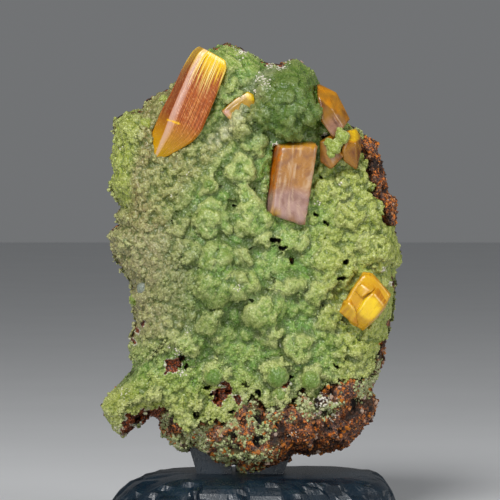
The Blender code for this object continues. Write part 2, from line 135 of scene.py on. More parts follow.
# %% Mesh helpers
def make_piece(name, points, faces, numbers=None, soft=True):
    """A piece from points in millimetres, arrays of faces, and a dictionary of numbers for its points."""
    points = np.asarray(points, float)
    volume = 0.0
    for some in faces:
        for n in range(1, some.shape[1] - 1):
            a, b, c = points[some[:, 0]], points[some[:, n]], points[some[:, n + 1]]
            volume += np.einsum("ij,ij->", a, np.cross(b, c)) / 6.0
    if volume < 0:
        faces = [some[:, ::-1] for some in faces]
    corners = np.concatenate([some.ravel() for some in faces]).astype(np.int32)
    sizes = np.concatenate([np.full(len(some), some.shape[1]) for some in faces])
    mesh = bpy.data.meshes.new(name)
    mesh.vertices.add(len(points))
    mesh.vertices.foreach_set("co", (points * MM).astype(np.float32).ravel())
    mesh.loops.add(len(corners))
    mesh.loops.foreach_set("vertex_index", corners)
    mesh.polygons.add(len(sizes))
    mesh.polygons.foreach_set("loop_start", (np.cumsum(sizes) - sizes).astype(np.int32))
    mesh.polygons.foreach_set("use_smooth", np.full(len(sizes), soft))
    mesh.update(calc_edges=True)
    for key, values in (numbers or {}).items():
        layer = mesh.attributes.new(key, "FLOAT", "POINT")
        layer.data.foreach_set("value", np.asarray(values, np.float32).ravel())
    made = bpy.data.objects.new(name, mesh)
    bpy.context.scene.collection.objects.link(made)
    print(f"{name}: {int((sizes - 2).sum())} triangles, {abs(volume) / 1000:.2f} cm3")
    return made


def quads(index, wrap=False):
    """Four-cornered faces over a table of point numbers. Wrap joins the last column to the first."""
    if wrap:
        index = np.concatenate([index, index[:, :1]], axis=1)
    a, b, c, d = index[:-1, :-1], index[1:, :-1], index[1:, 1:], index[:-1, 1:]
    return np.stack([a.ravel(), b.ravel(), c.ravel(), d.ravel()], axis=1)


def fan(pole, ring):
    """Triangles from one pole point to a closed ring of points."""
    return np.stack([np.full(len(ring), pole), ring, np.roll(ring, -1)], axis=1)


def closed_tube(table):
    """Points and faces of a tube from a table (rows, columns, 3), with a pole in the middle of each end."""
    rows, columns = table.shape[:2]
    index = np.arange(rows * columns).reshape(rows, columns)
    poles = np.stack([table[0].mean(axis=0), table[-1].mean(axis=0)])
    points = np.concatenate([table.reshape(-1, 3), poles])
    faces = [quads(index, wrap=True), fan(rows * columns, index[0]), fan(rows * columns + 1, index[-1])[:, ::-1]]
    return points, faces


def normals_of(points):
    """Unit normals of a table of points (rows, columns, 3): the cross product of its two slopes."""
    normal = np.cross(np.gradient(points, axis=0), np.gradient(points, axis=1))
    return normal / np.maximum(np.linalg.norm(normal, axis=-1, keepdims=True), 1e-9)


def finish_piece(piece, material, slot_name, *nodes):
    """The piece gets its material, rides on the one body, and stands for its CAD nodes."""
    piece.data.materials.append(material)
    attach(piece, "root")
    if nodes:
        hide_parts(*nodes)


# %% [markdown]
# ## Relief made of cells
#
# Mimetite grows as balls that crowd each other, and limonite breaks along random faces. Both are
# made the same way: space is cut in cubes, each cube holds one random seed, and every point of the
# surface looks at the 27 seeds round it. For balls the highest ball wins, for rock the highest
# pyramid. The random numbers come from the cube's own place, so every run gives the same stone.

# %% Relief made of cells
def cell_random(i, j, k, salt):
    """A repeatable random number, 0 to 1, for a whole-number cell: multiplied by primes and folded."""
    mask = 0xFFFFFFFF
    n = (i * 73856093) ^ (j * 19349663) ^ (k * 83492791) ^ (salt * 668265263)
    n = (n ^ (n >> 13)) & mask
    n = (n * 1274126177) & mask
    n = ((n ^ (n >> 16)) * 2246822519) & mask
    return ((n ^ (n >> 15)) & 0xFFFFFF) / float(0x1000000)


def neighbour_cells(points, cell, salt):
    """The place of each point in units of cells, and its 27 neighbour cells. The salt also turns the cubes."""
    turn = Euler((0.9 * salt, 0.7 * salt, 0.5 * salt)).to_matrix()
    q = points.reshape(-1, 3) @ np.array(turn) / cell
    base = np.floor(q).astype(np.int64)
    return q, [(base + np.array(step) - 1).T for step in np.ndindex(3, 3, 3)]


def balls(points, cell, salt):
    """Crowded balls: the highest ball's height in mm."""
    q, cells = neighbour_cells(points, cell, salt)
    height = np.zeros(len(q))
    for i, j, k in cells:
        centre = np.stack([i, j, k], axis=1) + 0.5
        centre = centre + 0.9 * (np.stack([cell_random(i, j, k, salt + n) for n in range(3)], axis=1) - 0.5)
        radius = 0.55 + 0.35 * cell_random(i, j, k, salt + 3)
        away = ((q - centre) ** 2).sum(axis=1)
        height = np.maximum(height, np.sqrt(np.maximum(radius**2 - away, 0.0)))
    return (height * cell).reshape(points.shape[:-1])


def crags(points, cell, salt):
    """Broken rock: the highest of leaning pyramids, in mm."""
    q, cells = neighbour_cells(points, cell, salt)
    best = np.full(len(q), -1.0)
    for i, j, k in cells:
        chance = [cell_random(i, j, k, salt + n) for n in range(6)]
        away = q - np.stack([i + chance[0], j + chance[1], k + chance[2]], axis=1)
        lean = (chance[3] - 0.5) * away[:, 0] + (chance[4] - 0.5) * away[:, 2]
        slope = np.abs(away[:, 0] + 0.4 * away[:, 2]) + np.abs(away[:, 2] - 0.4 * away[:, 0])
        slope = slope + np.abs(away[:, 1])
        best = np.maximum(best, 0.15 + 0.5 * chance[5] + 0.9 * lean - 0.6 * slope)
    return (best * cell).reshape(points.shape[:-1])


def smooth(t):
    """0 to 1 with a soft start and end."""
    t = np.clip(t, 0.0, 1.0)
    return t * t * (3.0 - 2.0 * t)


def haze(x, z, size, salt):
    """Smooth random clouds from 0 to 1, size mm across: random corner values, softly blended."""
    u, v = x / size, z / size
    i, j = np.floor(u).astype(np.int64), np.floor(v).astype(np.int64)
    a, b = smooth(u - i), smooth(v - j)
    corner = [[cell_random(i + p, j + q, 0 * i, salt) for q in (0, 1)] for p in (0, 1)]
    low = corner[0][0] * (1 - b) + corner[0][1] * b
    high = corner[1][0] * (1 - b) + corner[1][1] * b
    return low * (1 - a) + high * a


def blurred(table, reach):
    """A table's mean over the square of cells within reach, by running totals along both directions."""
    for axis in (0, 1):
        pad = [(0, 0)] * table.ndim
        pad[axis] = (reach + 1, reach)
        total = np.cumsum(np.pad(table, pad, mode="edge"), axis=axis)
        count = table.shape[axis]
        upper = np.take(total, np.arange(2 * reach + 1, 2 * reach + 1 + count), axis=axis)
        lower = np.take(total, np.arange(count), axis=axis)
        table = (upper - lower) / (2 * reach + 1)
    return table


# %% [markdown]
# ## The stone's form
#
# These are the same measured values as in the CAD part: the outline as the camera sees it, the broad
# swells of the face, and the rounded lobes. The crust and the rock are both cut from this one form.

# %% The stone's form
OUTLINE = [
    (-4.4, 84.4), (-0.9, 82.8), (2.5, 80.9), (4.9, 80.6), (7.2, 81.6), (8.4, 81.3),
    (10.9, 79.0), (11.6, 77.7), (13.3, 74.9), (15.4, 71.1), (17.6, 69.7), (20.4, 67.6),
    (21.8, 66.3), (23.0, 63.0), (23.7, 60.0), (24.0, 57.7), (25.4, 56.7), (25.6, 55.3),
    (25.3, 50.9), (26.5, 46.5), (26.5, 45.5), (25.4, 44.1), (25.4, 40.7), (24.6, 34.7),
    (23.7, 31.2), (22.6, 26.1), (21.1, 23.2), (21.9, 20.9), (21.6, 18.4), (19.5, 16.0),
    (17.4, 13.3), (14.2, 12.1), (11.6, 11.8), (10.0, 11.2), (7.9, 11.8), (4.4, 9.5),
    (0.0, 7.9), (-1.8, 8.4), (-2.8, 9.8), (-6.0, 9.8), (-7.9, 11.1), (-10.2, 12.8),
    (-11.9, 11.9), (-14.9, 14.2), (-16.1, 15.1), (-16.1, 17.4), (-17.2, 18.1), (-18.3, 18.3),
    (-19.7, 18.0), (-20.8, 16.4), (-22.6, 14.6), (-24.0, 15.1), (-26.1, 18.3), (-26.5, 19.8),
    (-26.0, 21.4), (-23.0, 24.5), (-21.1, 26.5), (-20.9, 27.6), (-21.8, 30.2), (-20.5, 35.1),
    (-21.5, 39.8), (-20.9, 41.1), (-23.2, 44.8), (-24.9, 47.6), (-25.3, 51.0), (-23.5, 52.0),
    (-24.4, 53.7), (-23.2, 55.3), (-25.1, 59.3), (-24.4, 61.4), (-24.9, 62.7), (-24.2, 67.0),
    (-24.6, 70.7), (-22.5, 72.0), (-19.5, 72.7), (-19.0, 74.1), (-16.7, 75.3), (-14.9, 75.8),
    (-13.7, 77.4), (-11.0, 79.9), (-8.6, 82.7), (-6.5, 83.5),
]  # fmt: skip
CENTRE = (-0.3, 45.8)
LOBES = [
    (-4.7, 80.4, 2.4, 0.9), (6.7, 74.2, 6.6, 3.6), (8.8, 77.5, 3.0, 3.9), (10.3, 72.1, 3.2, 4.6),
    (6.7, 69.7, 2.9, 4.2), (3.4, 74.0, 3.0, 3.3), (-3.9, 76.0, 2.6, 0.8), (-21.4, 69.0, 2.4, 0.8),
    (0.5, 66.2, 2.4, 1.6), (-2.1, 62.0, 2.7, 1.8), (-7.4, 59.7, 2.0, 1.3), (-1.2, 58.2, 2.4, 1.5),
    (15.6, 58.4, 2.0, 1.1), (17.2, 54.1, 2.6, 1.4), (-15.3, 54.1, 2.6, 1.0), (-7.0, 53.4, 3.5, 2.6),
    (-0.5, 54.2, 3.7, 2.8), (-12.5, 51.8, 1.8, 1.2), (2.3, 50.2, 1.9, 1.6), (7.2, 49.4, 2.7, 1.5),
    (22.1, 47.9, 3.2, 1.6), (-11.6, 47.2, 2.5, 1.8), (-1.2, 47.4, 2.1, 2.0), (-6.3, 46.5, 3.5, 2.9),
    (14.2, 45.3, 4.2, 1.7), (-6.5, 42.1, 3.9, 3.5), (-1.4, 41.6, 3.1, 3.3), (4.6, 41.2, 1.9, 2.1),
    (7.0, 41.6, 2.5, 2.2), (11.9, 40.9, 2.5, 1.7), (1.9, 37.2, 3.8, 3.2), (13.9, 36.3, 2.8, 1.6),
    (-7.4, 34.7, 3.1, 2.3), (3.3, 33.4, 2.5, 2.3), (-15.1, 33.2, 3.0, 1.8), (-10.4, 31.9, 2.7, 1.9),
    (8.4, 31.2, 2.7, 1.8), (17.2, 31.2, 2.8, 1.4), (-6.0, 26.9, 2.6, 2.2), (4.4, 26.7, 2.7, 2.5),
    (10.5, 26.0, 2.0, 1.7), (5.6, 22.9, 2.2, 1.7), (-17.2, 22.6, 1.8, 1.3), (-24.2, 21.0, 2.4, 1.4),
    (-23.0, 17.0, 2.2, 1.3), (-10.2, 21.6, 1.5, 1.2), (-1.7, 70.3, 2.9, 3.0), (1.4, 71.3, 2.9, 3.0),
]  # fmt: skip
SWELLS = [(-4.0, 42.0, 10.0, 3.4), (7.5, 74.0, 5.5, 2.6), (6.0, 15.0, 9.0, 2.6), (-21.0, 20.0, 5.0, 1.0)]
LOWER_BORDER = [(-17.2, 0.0), (-15.6, 19.0), (-11.8, 16.2), (-4.5, 17.0), (-0.8, 21.2), (8.4, 21.2),
                (14.0, 23.2), (21.5, 25.2)]  # fmt: skip
RIGHT_BORDER = [(24.0, 21.4), (26.0, 21.8), (31.2, 23.0), (36.5, 32.0), (49.5, 32.0), (52.3, 23.8),
                (56.2, 23.0), (57.9, 21.4), (62.3, 20.8), (67.0, 18.6), (72.0, 32.0)]  # fmt: skip
RIM_LEVEL, FRONT_EDGE = 2.6, 6.0
BACK_LEVEL, BACK_EDGE = 13.5, 11.0


def rim_radius(angle):
    """The outline's distance from CENTRE in each direction."""
    corners = np.array(OUTLINE) - CENTRE
    at = np.arctan2(corners[:, 1], corners[:, 0])
    return np.interp(angle, np.sort(at), np.hypot(*corners.T)[np.argsort(at)], period=2 * np.pi)


def rim_distance(x, z):
    """How far each point lies from the outline: the least distance to its straight pieces."""
    least = np.full(x.shape, 99.0)
    for (ax, az), (bx, bz) in zip(OUTLINE, OUTLINE[1:] + OUTLINE[:1]):
        ux, uz = bx - ax, bz - az
        share = np.clip(((x - ax) * ux + (z - az) * uz) / (ux * ux + uz * uz), 0.0, 1.0)
        least = np.minimum(least, np.hypot(x - ax - share * ux, z - az - share * uz))
    return least


def edge_curve(distance, width):
    """0 at the outline and 1 from the given width inwards, rounded over like a pebble's edge."""
    return (1.0 - (1.0 - np.clip(distance / width, 0.0, 1.0)) ** 2.4) ** 0.55


def face_level(x, z):
    """Where the front face lies before its lobes: a leaning plane with broad swells."""
    level = -7.6 + 0.085 * x
    for at_x, at_z, width, height in SWELLS:
        level = level - height * np.exp(-((x - at_x) ** 2 + (z - at_z) ** 2) / width**2)
    return level


def lobe_rise(x, z):
    """The highest of the lobes' ellipsoid caps. Clouds warp the place, so that lobes are scalloped."""
    warp_x = x + 1.3 * (haze(x, z, 1.9, 21) - 0.5) + 0.7 * (haze(x, z, 0.9, 22) - 0.5)
    warp_z = z + 1.3 * (haze(x, z, 1.9, 23) - 0.5) + 0.7 * (haze(x, z, 0.9, 24) - 0.5)
    rise = np.zeros(x.shape)
    for at_x, at_z, radius, height in LOBES:
        away = ((warp_x - at_x) ** 2 + (warp_z - at_z) ** 2) / radius**2
        rise = np.maximum(rise, height * np.maximum(1.0 - away, 0.0) ** 0.62)
    return rise


def bareness(x, z):
    """0 where the crust covers the rock, 1 where limonite shows. Clouds fray the border."""
    fray = 3.0 * (haze(x, z, 2.2, 5) - 0.5) + 2.2 * (haze(x, z, 0.9, 6) - 0.5)
    lower = np.interp(x, *np.array(LOWER_BORDER).T) - z
    right = x - np.interp(z, *np.array(RIGHT_BORDER).T)
    return np.maximum(smooth((lower + fray) / 1.2 + 0.5), smooth((right + 0.5 * fray) / 0.8 + 0.5))


def stone_grid(cells):
    """A square grid bent to the stone: nested squares become nested outlines, closer near the rim."""
    u, v = np.meshgrid(np.linspace(-1.0, 1.0, cells + 1), np.linspace(-1.0, 1.0, cells + 1), indexing="ij")
    wide = np.abs(u) > np.abs(v)
    reach = np.where(wide, u, v)
    divisor = np.where(reach == 0.0, 1.0, reach)
    turn = np.where(wide, np.pi / 4 * v / divisor, np.pi / 2 - np.pi / 4 * u / divisor)
    angle = np.arctan2(np.sin(turn) * reach, np.cos(turn) * reach) + np.pi / 4
    share = 1.0 - (1.0 - np.abs(reach)) ** 1.2
    calm = np.mean([rim_radius(angle + spread) for spread in np.linspace(-0.4, 0.4, 15)], axis=0)
    radius = share * (calm + (rim_radius(angle) - calm) * share**5)
    return CENTRE[0] + radius * np.cos(angle), CENTRE[1] + radius * np.sin(angle), share


def grid_border(cells):
    """The point numbers round a square grid's border, in order."""
    index = np.arange((cells + 1) ** 2).reshape(cells + 1, cells + 1)
    return np.concatenate([index[:-1, 0], index[-1, :-1], index[:0:-1, -1], index[0, :0:-1]])


def evenness(x, z):
    """1 where the grid's cells have an even size, and 0 where a notch in the outline stretches them."""
    lengths = [np.hypot(np.gradient(x, axis=n), np.gradient(z, axis=n)) for n in (0, 1)]
    return smooth((4.0 - np.maximum(*lengths) / np.median(lengths)) / 2.0)


# %% [markdown]
# ## Where the crystals stand
#
# The crust grew round the crystals. Seen from the front each crystal is a polygon, and inside it the
# crust is pushed back to the level of the crystal's back, so that nothing green comes through its
# front and no empty pocket shows behind it from above.

# %% Where the crystals stand
SEATS = [
    [(-16.9, 64.6), (-14.5, 63.9), (-9.5, 67.0), (-3.6, 80.6), (-4.6, 82.4), (-8.5, 83.8), (-11.3, 82.0),
     (-17.9, 69.0)],
    [(-5.4, 72.3), (-2.9, 74.4), (-0.7, 75.7), (0.5, 75.2), (-4.9, 71.2)],
    [(3.5, 66.7), (11.2, 67.0), (9.3, 52.6), (2.1, 54.6)],
    [(12.6, 77.2), (14.8, 75.5), (17.2, 70.8), (16.0, 67.2), (13.2, 67.0), (13.2, 74.0)],
    [(16.0, 69.0), (18.3, 69.2), (19.1, 65.5), (18.3, 61.9), (16.0, 63.5), (15.8, 66.0)],
    [(11.8, 68.6), (16.6, 68.6), (16.0, 64.3), (14.0, 62.1), (11.9, 63.4)],
    [(19.4, 44.2), (21.1, 43.9), (24.4, 40.2), (23.3, 37.7), (19.4, 33.8), (15.2, 37.2), (16.0, 39.2),
     (17.7, 41.0)],
]  # fmt: skip
SEAT_LEVELS = [-8.3, -4.4, -5.2, -2.8, -2.8, -2.8, -2.8]
ROCK_SEAT_LEVEL = -2.2


def inside_distance(x, z, corners):
    """How far inside a convex polygon a point lies, negative outside: the least distance to an edge."""
    least = np.full(x.shape, 99.0)
    middle = np.mean(corners, axis=0)
    for (ax, az), (bx, bz) in zip(corners, corners[1:] + corners[:1]):
        length = math.hypot(bx - ax, bz - az)
        across = ((bx - ax) * (z - az) - (bz - az) * (x - ax)) / length
        side = np.sign((bx - ax) * (middle[1] - az) - (bz - az) * (middle[0] - ax))
        least = np.minimum(least, side * across)
    return least


def seat_shares(x, z):
    """For each seat, 1 well inside its polygon and 0 outside."""
    return [smooth((inside_distance(x, z, corners) - 0.2) / 0.5) for corners in SEATS]


# %% [markdown]
# ## Mimetite crust: the surface
#
# Botryoidal mimetite is balls on balls: lobes 4 to 13 mm across carry smaller balls, and those carry
# a druse of grains. One layer of relief can't do that, so several are stacked. Each one pushes the
# surface out along the normals that the last one left, and that makes real overhangs.
# On the left the small balls rule, in the middle the big lobes.

# %% Mimetite crust: the surface
CRUST_CELLS = 288
CRUST_INSET = 0.6  # the crust's rim lies this far in front of the rock's
HIDDEN_LEVEL, HIDDEN_SHARE = 1.5, 0.92  # where the rock is bare, the crust's table hides inside it
CRUST_BACK = 4.0
CRUST_LAYERS = [(3.2, 91, 0.32, 0.36), (1.7, 101, 0.42, 0.26), (1.0, 151, 0.54, 0.28), (0.6, 161, 0.4, 0.36)]
PORES = [(11.2, 54.2, 0.9), (13.2, 52.8, 1.0), (12.8, 50.0, 0.9), (3.9, 49.5, 1.0), (5.4, 48.3, 0.7),
         (7.0, 46.2, 0.8), (15.6, 43.0, 0.9), (16.3, 45.8, 0.7), (-6.3, 22.6, 1.2), (-4.2, 23.2, 0.9),
         (5.3, 25.3, 1.1), (6.7, 25.6, 0.8), (-7.6, 24.0, 0.7), (3.8, 65.4, 0.7), (12.3, 60.7, 0.5),
         (-12.1, 29.1, 0.7), (-1.0, 24.6, 0.7), (15.0, 27.5, 0.8), (-11.6, 27.6, 0.9), (9.0, 23.4, 0.8),
         (-9.4, 19.2, 0.9), (-7.2, 18.4, 0.8), (-3.4, 19.6, 0.8), (1.2, 22.9, 0.8), (16.2, 25.2, 0.6)]  # fmt: skip
SPOTS = [(-14.2, 27.9, 1.5), (-20.5, 33.7, 0.5), (-19.1, 34.9, 0.5), (-20.9, 31.8, 0.5), (-5.6, 22.8, 1.7),
         (5.6, 25.0, 0.9), (-21.9, 16.2, 1.5), (-2.4, 21.8, 0.8), (-20.9, 18.2, 1.1), (-19.3, 18.7, 1.1),
         (-17.7, 19.0, 1.1), (-16.3, 18.6, 1.5)]  # fmt: skip


def grow(points, layer, calm, mask):
    """One layer of balls, pushed out along the normals. A layer is a cell size, a salt and two amounts."""
    cell, salt, rough, quiet = layer
    amount = (rough + (quiet - rough) * calm) * mask
    return points + (amount * (balls(points, cell, salt) - 0.55 * cell))[..., None] * normals_of(points)


def crust_relief():
    """The crust's front as a table of points, the numbers that its colours read, and its zones."""
    x, z, share = stone_grid(CRUST_CELLS)
    deep = rim_distance(x, z)
    seats = seat_shares(x, z)
    seat = np.max(seats, axis=0)
    bare = bareness(x, z)
    level = face_level(x, z) - lobe_rise(x, z)
    y = RIM_LEVEL - CRUST_INSET + (level - RIM_LEVEL) * edge_curve(deep, FRONT_EDGE)
    points = np.stack([x, y, z], axis=-1)
    calm = np.maximum(
        smooth(1.5 - np.hypot(x / 15.0, (z - 45.0) / 20.0)),
        smooth(1.6 - np.hypot((x - 7.0) / 6.0, (z - 74.0) / 7.5)),
    )
    mask = (0.6 + 0.4 * smooth(deep / 3.0)) * (1.0 - seat) * (0.25 + 0.75 * evenness(x, z))
    points = grow(points, CRUST_LAYERS[0], calm, mask)
    # How far the surface turns from the broad form, highest on the lobes' sloping rims. It drives a painted pale
    # sheen.
    rim = 1.0 - (blurred(normals_of(points), 1) * normals_of(blurred(points, 11))).sum(axis=-1)
    for layer in CRUST_LAYERS[1:]:
        points = grow(points, layer, calm, mask)
    soft = blurred(points, 3), blurred(points, 9)
    # How far each point stands out from the surface round it, at a small and a large scale. Both numbers drive painted
    # highlight and painted shade.
    fine, broad = [((points - s) * normals_of(s)).sum(axis=-1) for s in soft]
    spot = np.zeros(x.shape)
    for at_x, at_z, radius in SPOTS:
        ragged = radius * (0.5 + 1.1 * haze(x, z, 0.8, 11))
        spot = np.maximum(spot, smooth((ragged - np.hypot(x - at_x, z - at_z)) / 0.5 + 0.5))
    points[..., 1] += 0.9 * smooth(2.0 * spot - 0.8)
    pit = np.zeros(x.shape)
    for at_x, at_z, radius in PORES:
        ragged = radius * (0.1 + 1.4 * haze(x, z, 0.6, 9))
        pit = np.maximum(pit, smooth((ragged - np.hypot(x - at_x, (z - at_z) * 1.3)) / 0.3))
    points[..., 1] += 3.0 * pit
    for within, level in zip(seats, SEAT_LEVELS):
        points[..., 1] -= within * np.minimum(points[..., 1] - level, 0.0)
    hidden_x, hidden_z = CENTRE[0] + HIDDEN_SHARE * (x - CENTRE[0]), CENTRE[1] + HIDDEN_SHARE * (z - CENTRE[1])
    hidden = np.stack([hidden_x, np.full(x.shape, HIDDEN_LEVEL), hidden_z], axis=-1)
    points = points + bare[..., None] * (hidden - points)
    numbers = {"fine": fine, "broad": broad, "rim": rim, "pit": pit, "spot": spot}
    return points, share, numbers, {"bare": bare, "calm": calm, "seat": seat}


def zone_numbers(points, numbers):
    """Where the green is deep, where it turns yellow, and where tan dust lies: soft zones with clouds."""
    x, z = points[..., 0], points[..., 2]
    cloud = haze(x, z, 6.0, 61) + 0.5 * haze(x, z, 2.5, 62) - 0.75
    yellow = np.maximum(smooth((x - 9.0 + 9.0 * cloud) / 9.0), smooth((31.0 - z + 8.0 * cloud) / 9.0))
    yellow = np.maximum(yellow, smooth((-19.5 - x + 3.0 * cloud) / 3.0) * smooth((z - 53.0) / 5.0))
    knob = smooth(1.5 - np.hypot((x - 7.0) / 7.0, (z - 73.0) / 8.5))
    yellow = yellow * (1.0 - knob)
    ridge = smooth(1.0 - np.abs((z - 55.0) - 1.04 * (x + 17.5)) / 7.0) * smooth((10.0 - x) / 12.0)
    left = smooth((-7.0 - x + 7.0 * cloud) / 12.0) * smooth((z - 27.0) / 8.0)
    middle = smooth(1.6 - np.hypot((x + 8.0) / 7.0, (z - 43.0) / 12.0)) * smooth(0.7 + cloud)
    numbers["deep"] = np.maximum(knob, 0.35 * middle)
    slope = np.array([(5.6, 81.2), (3.2, 79.2), (1.6, 77.0), (0.4, 74.8), (-3.2, 70.6), (-6.5, 66.5)])
    across = np.interp(z, slope[::-1, 1], slope[::-1, 0]) - x
    frost_and_painted_light = smooth(1.2 - np.abs(across - 0.3) / 1.3 + cloud) * smooth((z - 65.0) / 3.0)
    foot = smooth(1.2 - (z - np.interp(x, *np.array(LOWER_BORDER).T)) / 5.0) * haze(x, z, 0.7, 66)
    # The last term only makes the lower left paler: painted light.
    numbers["frost_and_painted_light"] = np.maximum(np.maximum(frost_and_painted_light, 0.75 * foot), 0.3 * left * smooth((55.0 - z) / 6.0))
    numbers["yellow"] = yellow
    numbers["dust"] = np.clip(np.maximum(0.75 * ridge, left) * (1.0 - yellow), 0.0, 1.0)
    return numbers


crust_points, crust_share, crust_numbers, crust_zones = crust_relief()
crust_numbers = zone_numbers(crust_points, crust_numbers)
crust_normals = normals_of(crust_points)
for name in ("fine", "broad", "rim"):
    print("crust,", name, "at 10, 50 and 90 %:", np.percentile(crust_numbers[name], (10, 50, 90)).round(3))


def crust_piece():
    """The front table closed by a plain back inside the rock: three rings and a pole."""
    front = crust_points.reshape(-1, 3)
    index = np.arange(len(front)).reshape(crust_share.shape)
    border = grid_border(CRUST_CELLS)
    rings, back = [border], []
    for part in (0.95, 0.6, 0.25):
        x = CENTRE[0] + (front[border, 0] - CENTRE[0]) * part
        z = CENTRE[1] + (front[border, 2] - CENTRE[1]) * part
        rings.append(len(front) + len(back) * len(border) + np.arange(len(border)))
        back.append(np.stack([x, np.full(len(border), CRUST_BACK), z], axis=1))
    points = np.concatenate([front, *back, [[CENTRE[0], CRUST_BACK, CENTRE[1]]]])
    faces = [quads(index), quads(np.array(rings), wrap=True), fan(len(points) - 1, rings[-1])[:, ::-1]]
    spare = len(points) - len(front)
    numbers = {key: np.append(value.ravel(), np.zeros(spare)) for key, value in crust_numbers.items()}
    numbers["chance"] = haze(points[:, 0], points[:, 2], 1.1, 63)
    return make_piece("mimetite_crust_surface", points, faces, numbers)


crust = crust_piece()

# %% [markdown]
# ## Mimetite crust: the druse
#
# Small balls and grains sit on the crust. They are thousands of copies of one small icosphere, so
# each has few faces, and they are joined in one mesh by arrays. Each is half sunk in the crust along
# its normal. Grains are drawn where they are likely: many below and on the left, few on the smooth lobes.

# %% Mimetite crust: the druse
def small_ball(subdivisions):
    """Points and triangles of an icosphere of radius 1."""
    mesh = bmesh.new()
    bmesh.ops.create_icosphere(mesh, subdivisions=subdivisions, radius=1.0)
    mesh.verts.index_update()
    points = np.array([v.co[:] for v in mesh.verts])
    faces = np.array([[v.index for v in f.verts] for f in mesh.faces])
    mesh.free()
    return points, faces


def scatter(weight, count, salt):
    """Point numbers, each as likely as its weight: jittered even steps up the running total."""
    total = np.cumsum(weight.ravel())
    k = np.arange(count)
    steps = (k + cell_random(k, 0 * k, 0 * k, salt)) / count
    return np.searchsorted(total, steps * total[-1])


def cell_area(points):
    """The area of each cell of a table of points: the length of the cross product of its slopes."""
    return np.linalg.norm(np.cross(np.gradient(points, axis=0), np.gradient(points, axis=1)), axis=-1)


def cluster(shape, places, normals, radii, sink, wobble, salt):
    """Copies of a shape on a surface: turned by chance, sunk by a share of their radius, and dented."""
    count, size = len(places), len(shape)
    k = np.arange(count)
    spin = 2 * np.pi * cell_random(k, 0 * k, 0 * k, salt)[:, None]
    side = np.cross(normals, (0.31, 0.22, 0.92))
    side = side / np.linalg.norm(side, axis=1, keepdims=True)
    a = side * np.cos(spin) + np.cross(normals, side) * np.sin(spin)
    b = np.cross(normals, a)
    places = places + (0.25 * cell_random(k, 0 * k + 2, 0 * k, salt))[:, None] * a
    k, m = np.meshgrid(np.arange(count), np.arange(size), indexing="ij")
    dent = 1.0 + wobble * (cell_random(k, m, 0 * k, salt + 1) - 0.5)
    local = shape[None] * dent[..., None] * radii[:, None, None]
    local[..., 2] -= (sink * radii)[:, None]
    frame_axes = zip((a, b, normals), np.moveaxis(local, -1, 0))
    points = places[:, None] + sum(amount[..., None] * axis[:, None] for axis, amount in frame_axes)
    return points.reshape(-1, 3)


def cluster_faces(faces, size, count):
    """The shape's faces once for each copy."""
    return (faces[None] + size * np.arange(count)[:, None, None]).reshape(-1, faces.shape[1])


def druse_piece(name, subdivisions, count, weight, least, most, salt):
    """Balls of one kind, their radii between least and most mm, on the crust."""
    shape, faces = small_ball(subdivisions)
    seeds = scatter(weight * cell_area(crust_points), count, salt)
    places, normals = crust_points.reshape(-1, 3)[seeds], crust_normals.reshape(-1, 3)[seeds]
    chance = cell_random(np.arange(count), 0 * seeds, 0 * seeds, salt + 5)
    radii = least + (most - least) * chance**2
    points = cluster(shape, places, normals, radii, 0.3, 0.22, salt + 7)
    numbers = {key: np.repeat(value.ravel()[seeds], len(shape)) for key, value in crust_numbers.items()}
    tilt = np.tile(shape[:, 2], count)
    # Each ball's lower side, where it meets the crust, is made darker: painted shade under the ball.
    numbers["fine"] = numbers["fine"] * 0.8 + 0.03 - 0.10 * (1.0 - tilt) * (tilt < 0.2)
    numbers["chance"] = np.repeat(cell_random(np.arange(count), 0 * seeds + 1, 0 * seeds, salt + 6), len(shape))
    return make_piece(name, points, [cluster_faces(faces, len(shape), count)], numbers)


open_crust = (1.0 - crust_zones["bare"]) * (1.0 - crust_zones["seat"]) * (1.0 - crust_numbers["pit"])
open_crust = open_crust * (crust_zones["bare"] < 0.3)
low = smooth((34.0 - crust_points[..., 2]) / 8.0)
leftward = smooth((-6.0 - crust_points[..., 0]) / 6.0)
ball_weight = open_crust * (0.12 + 0.9 * leftward + 0.25 * (1.0 - crust_zones["calm"])) * (1.0 - 0.5 * low)
grain_weight = open_crust * (0.8 + 0.6 * low)
druse = [
    druse_piece("mimetite_balls", 2, 1300, ball_weight, 0.24, 0.52, 1001),
    druse_piece("mimetite_grains", 1, 9600, grain_weight, 0.10, 0.21, 1101),
    druse_piece("mimetite_low_grains", 1, 4000, open_crust * (0.02 + low), 0.14, 0.36, 1151),
]

# %% [markdown]
# ## Mimetite crust: lone balls and white specks
#
# A few balls stand by themselves: smooth green ones near the foot, yellow ones beside the barrel, a
# grey one at the left, and six grown together on the upper right crystals. A row gives x, the nearest
# depth, z, radius and tint. White specks of another mineral are dusted over some places (x, z, radius).

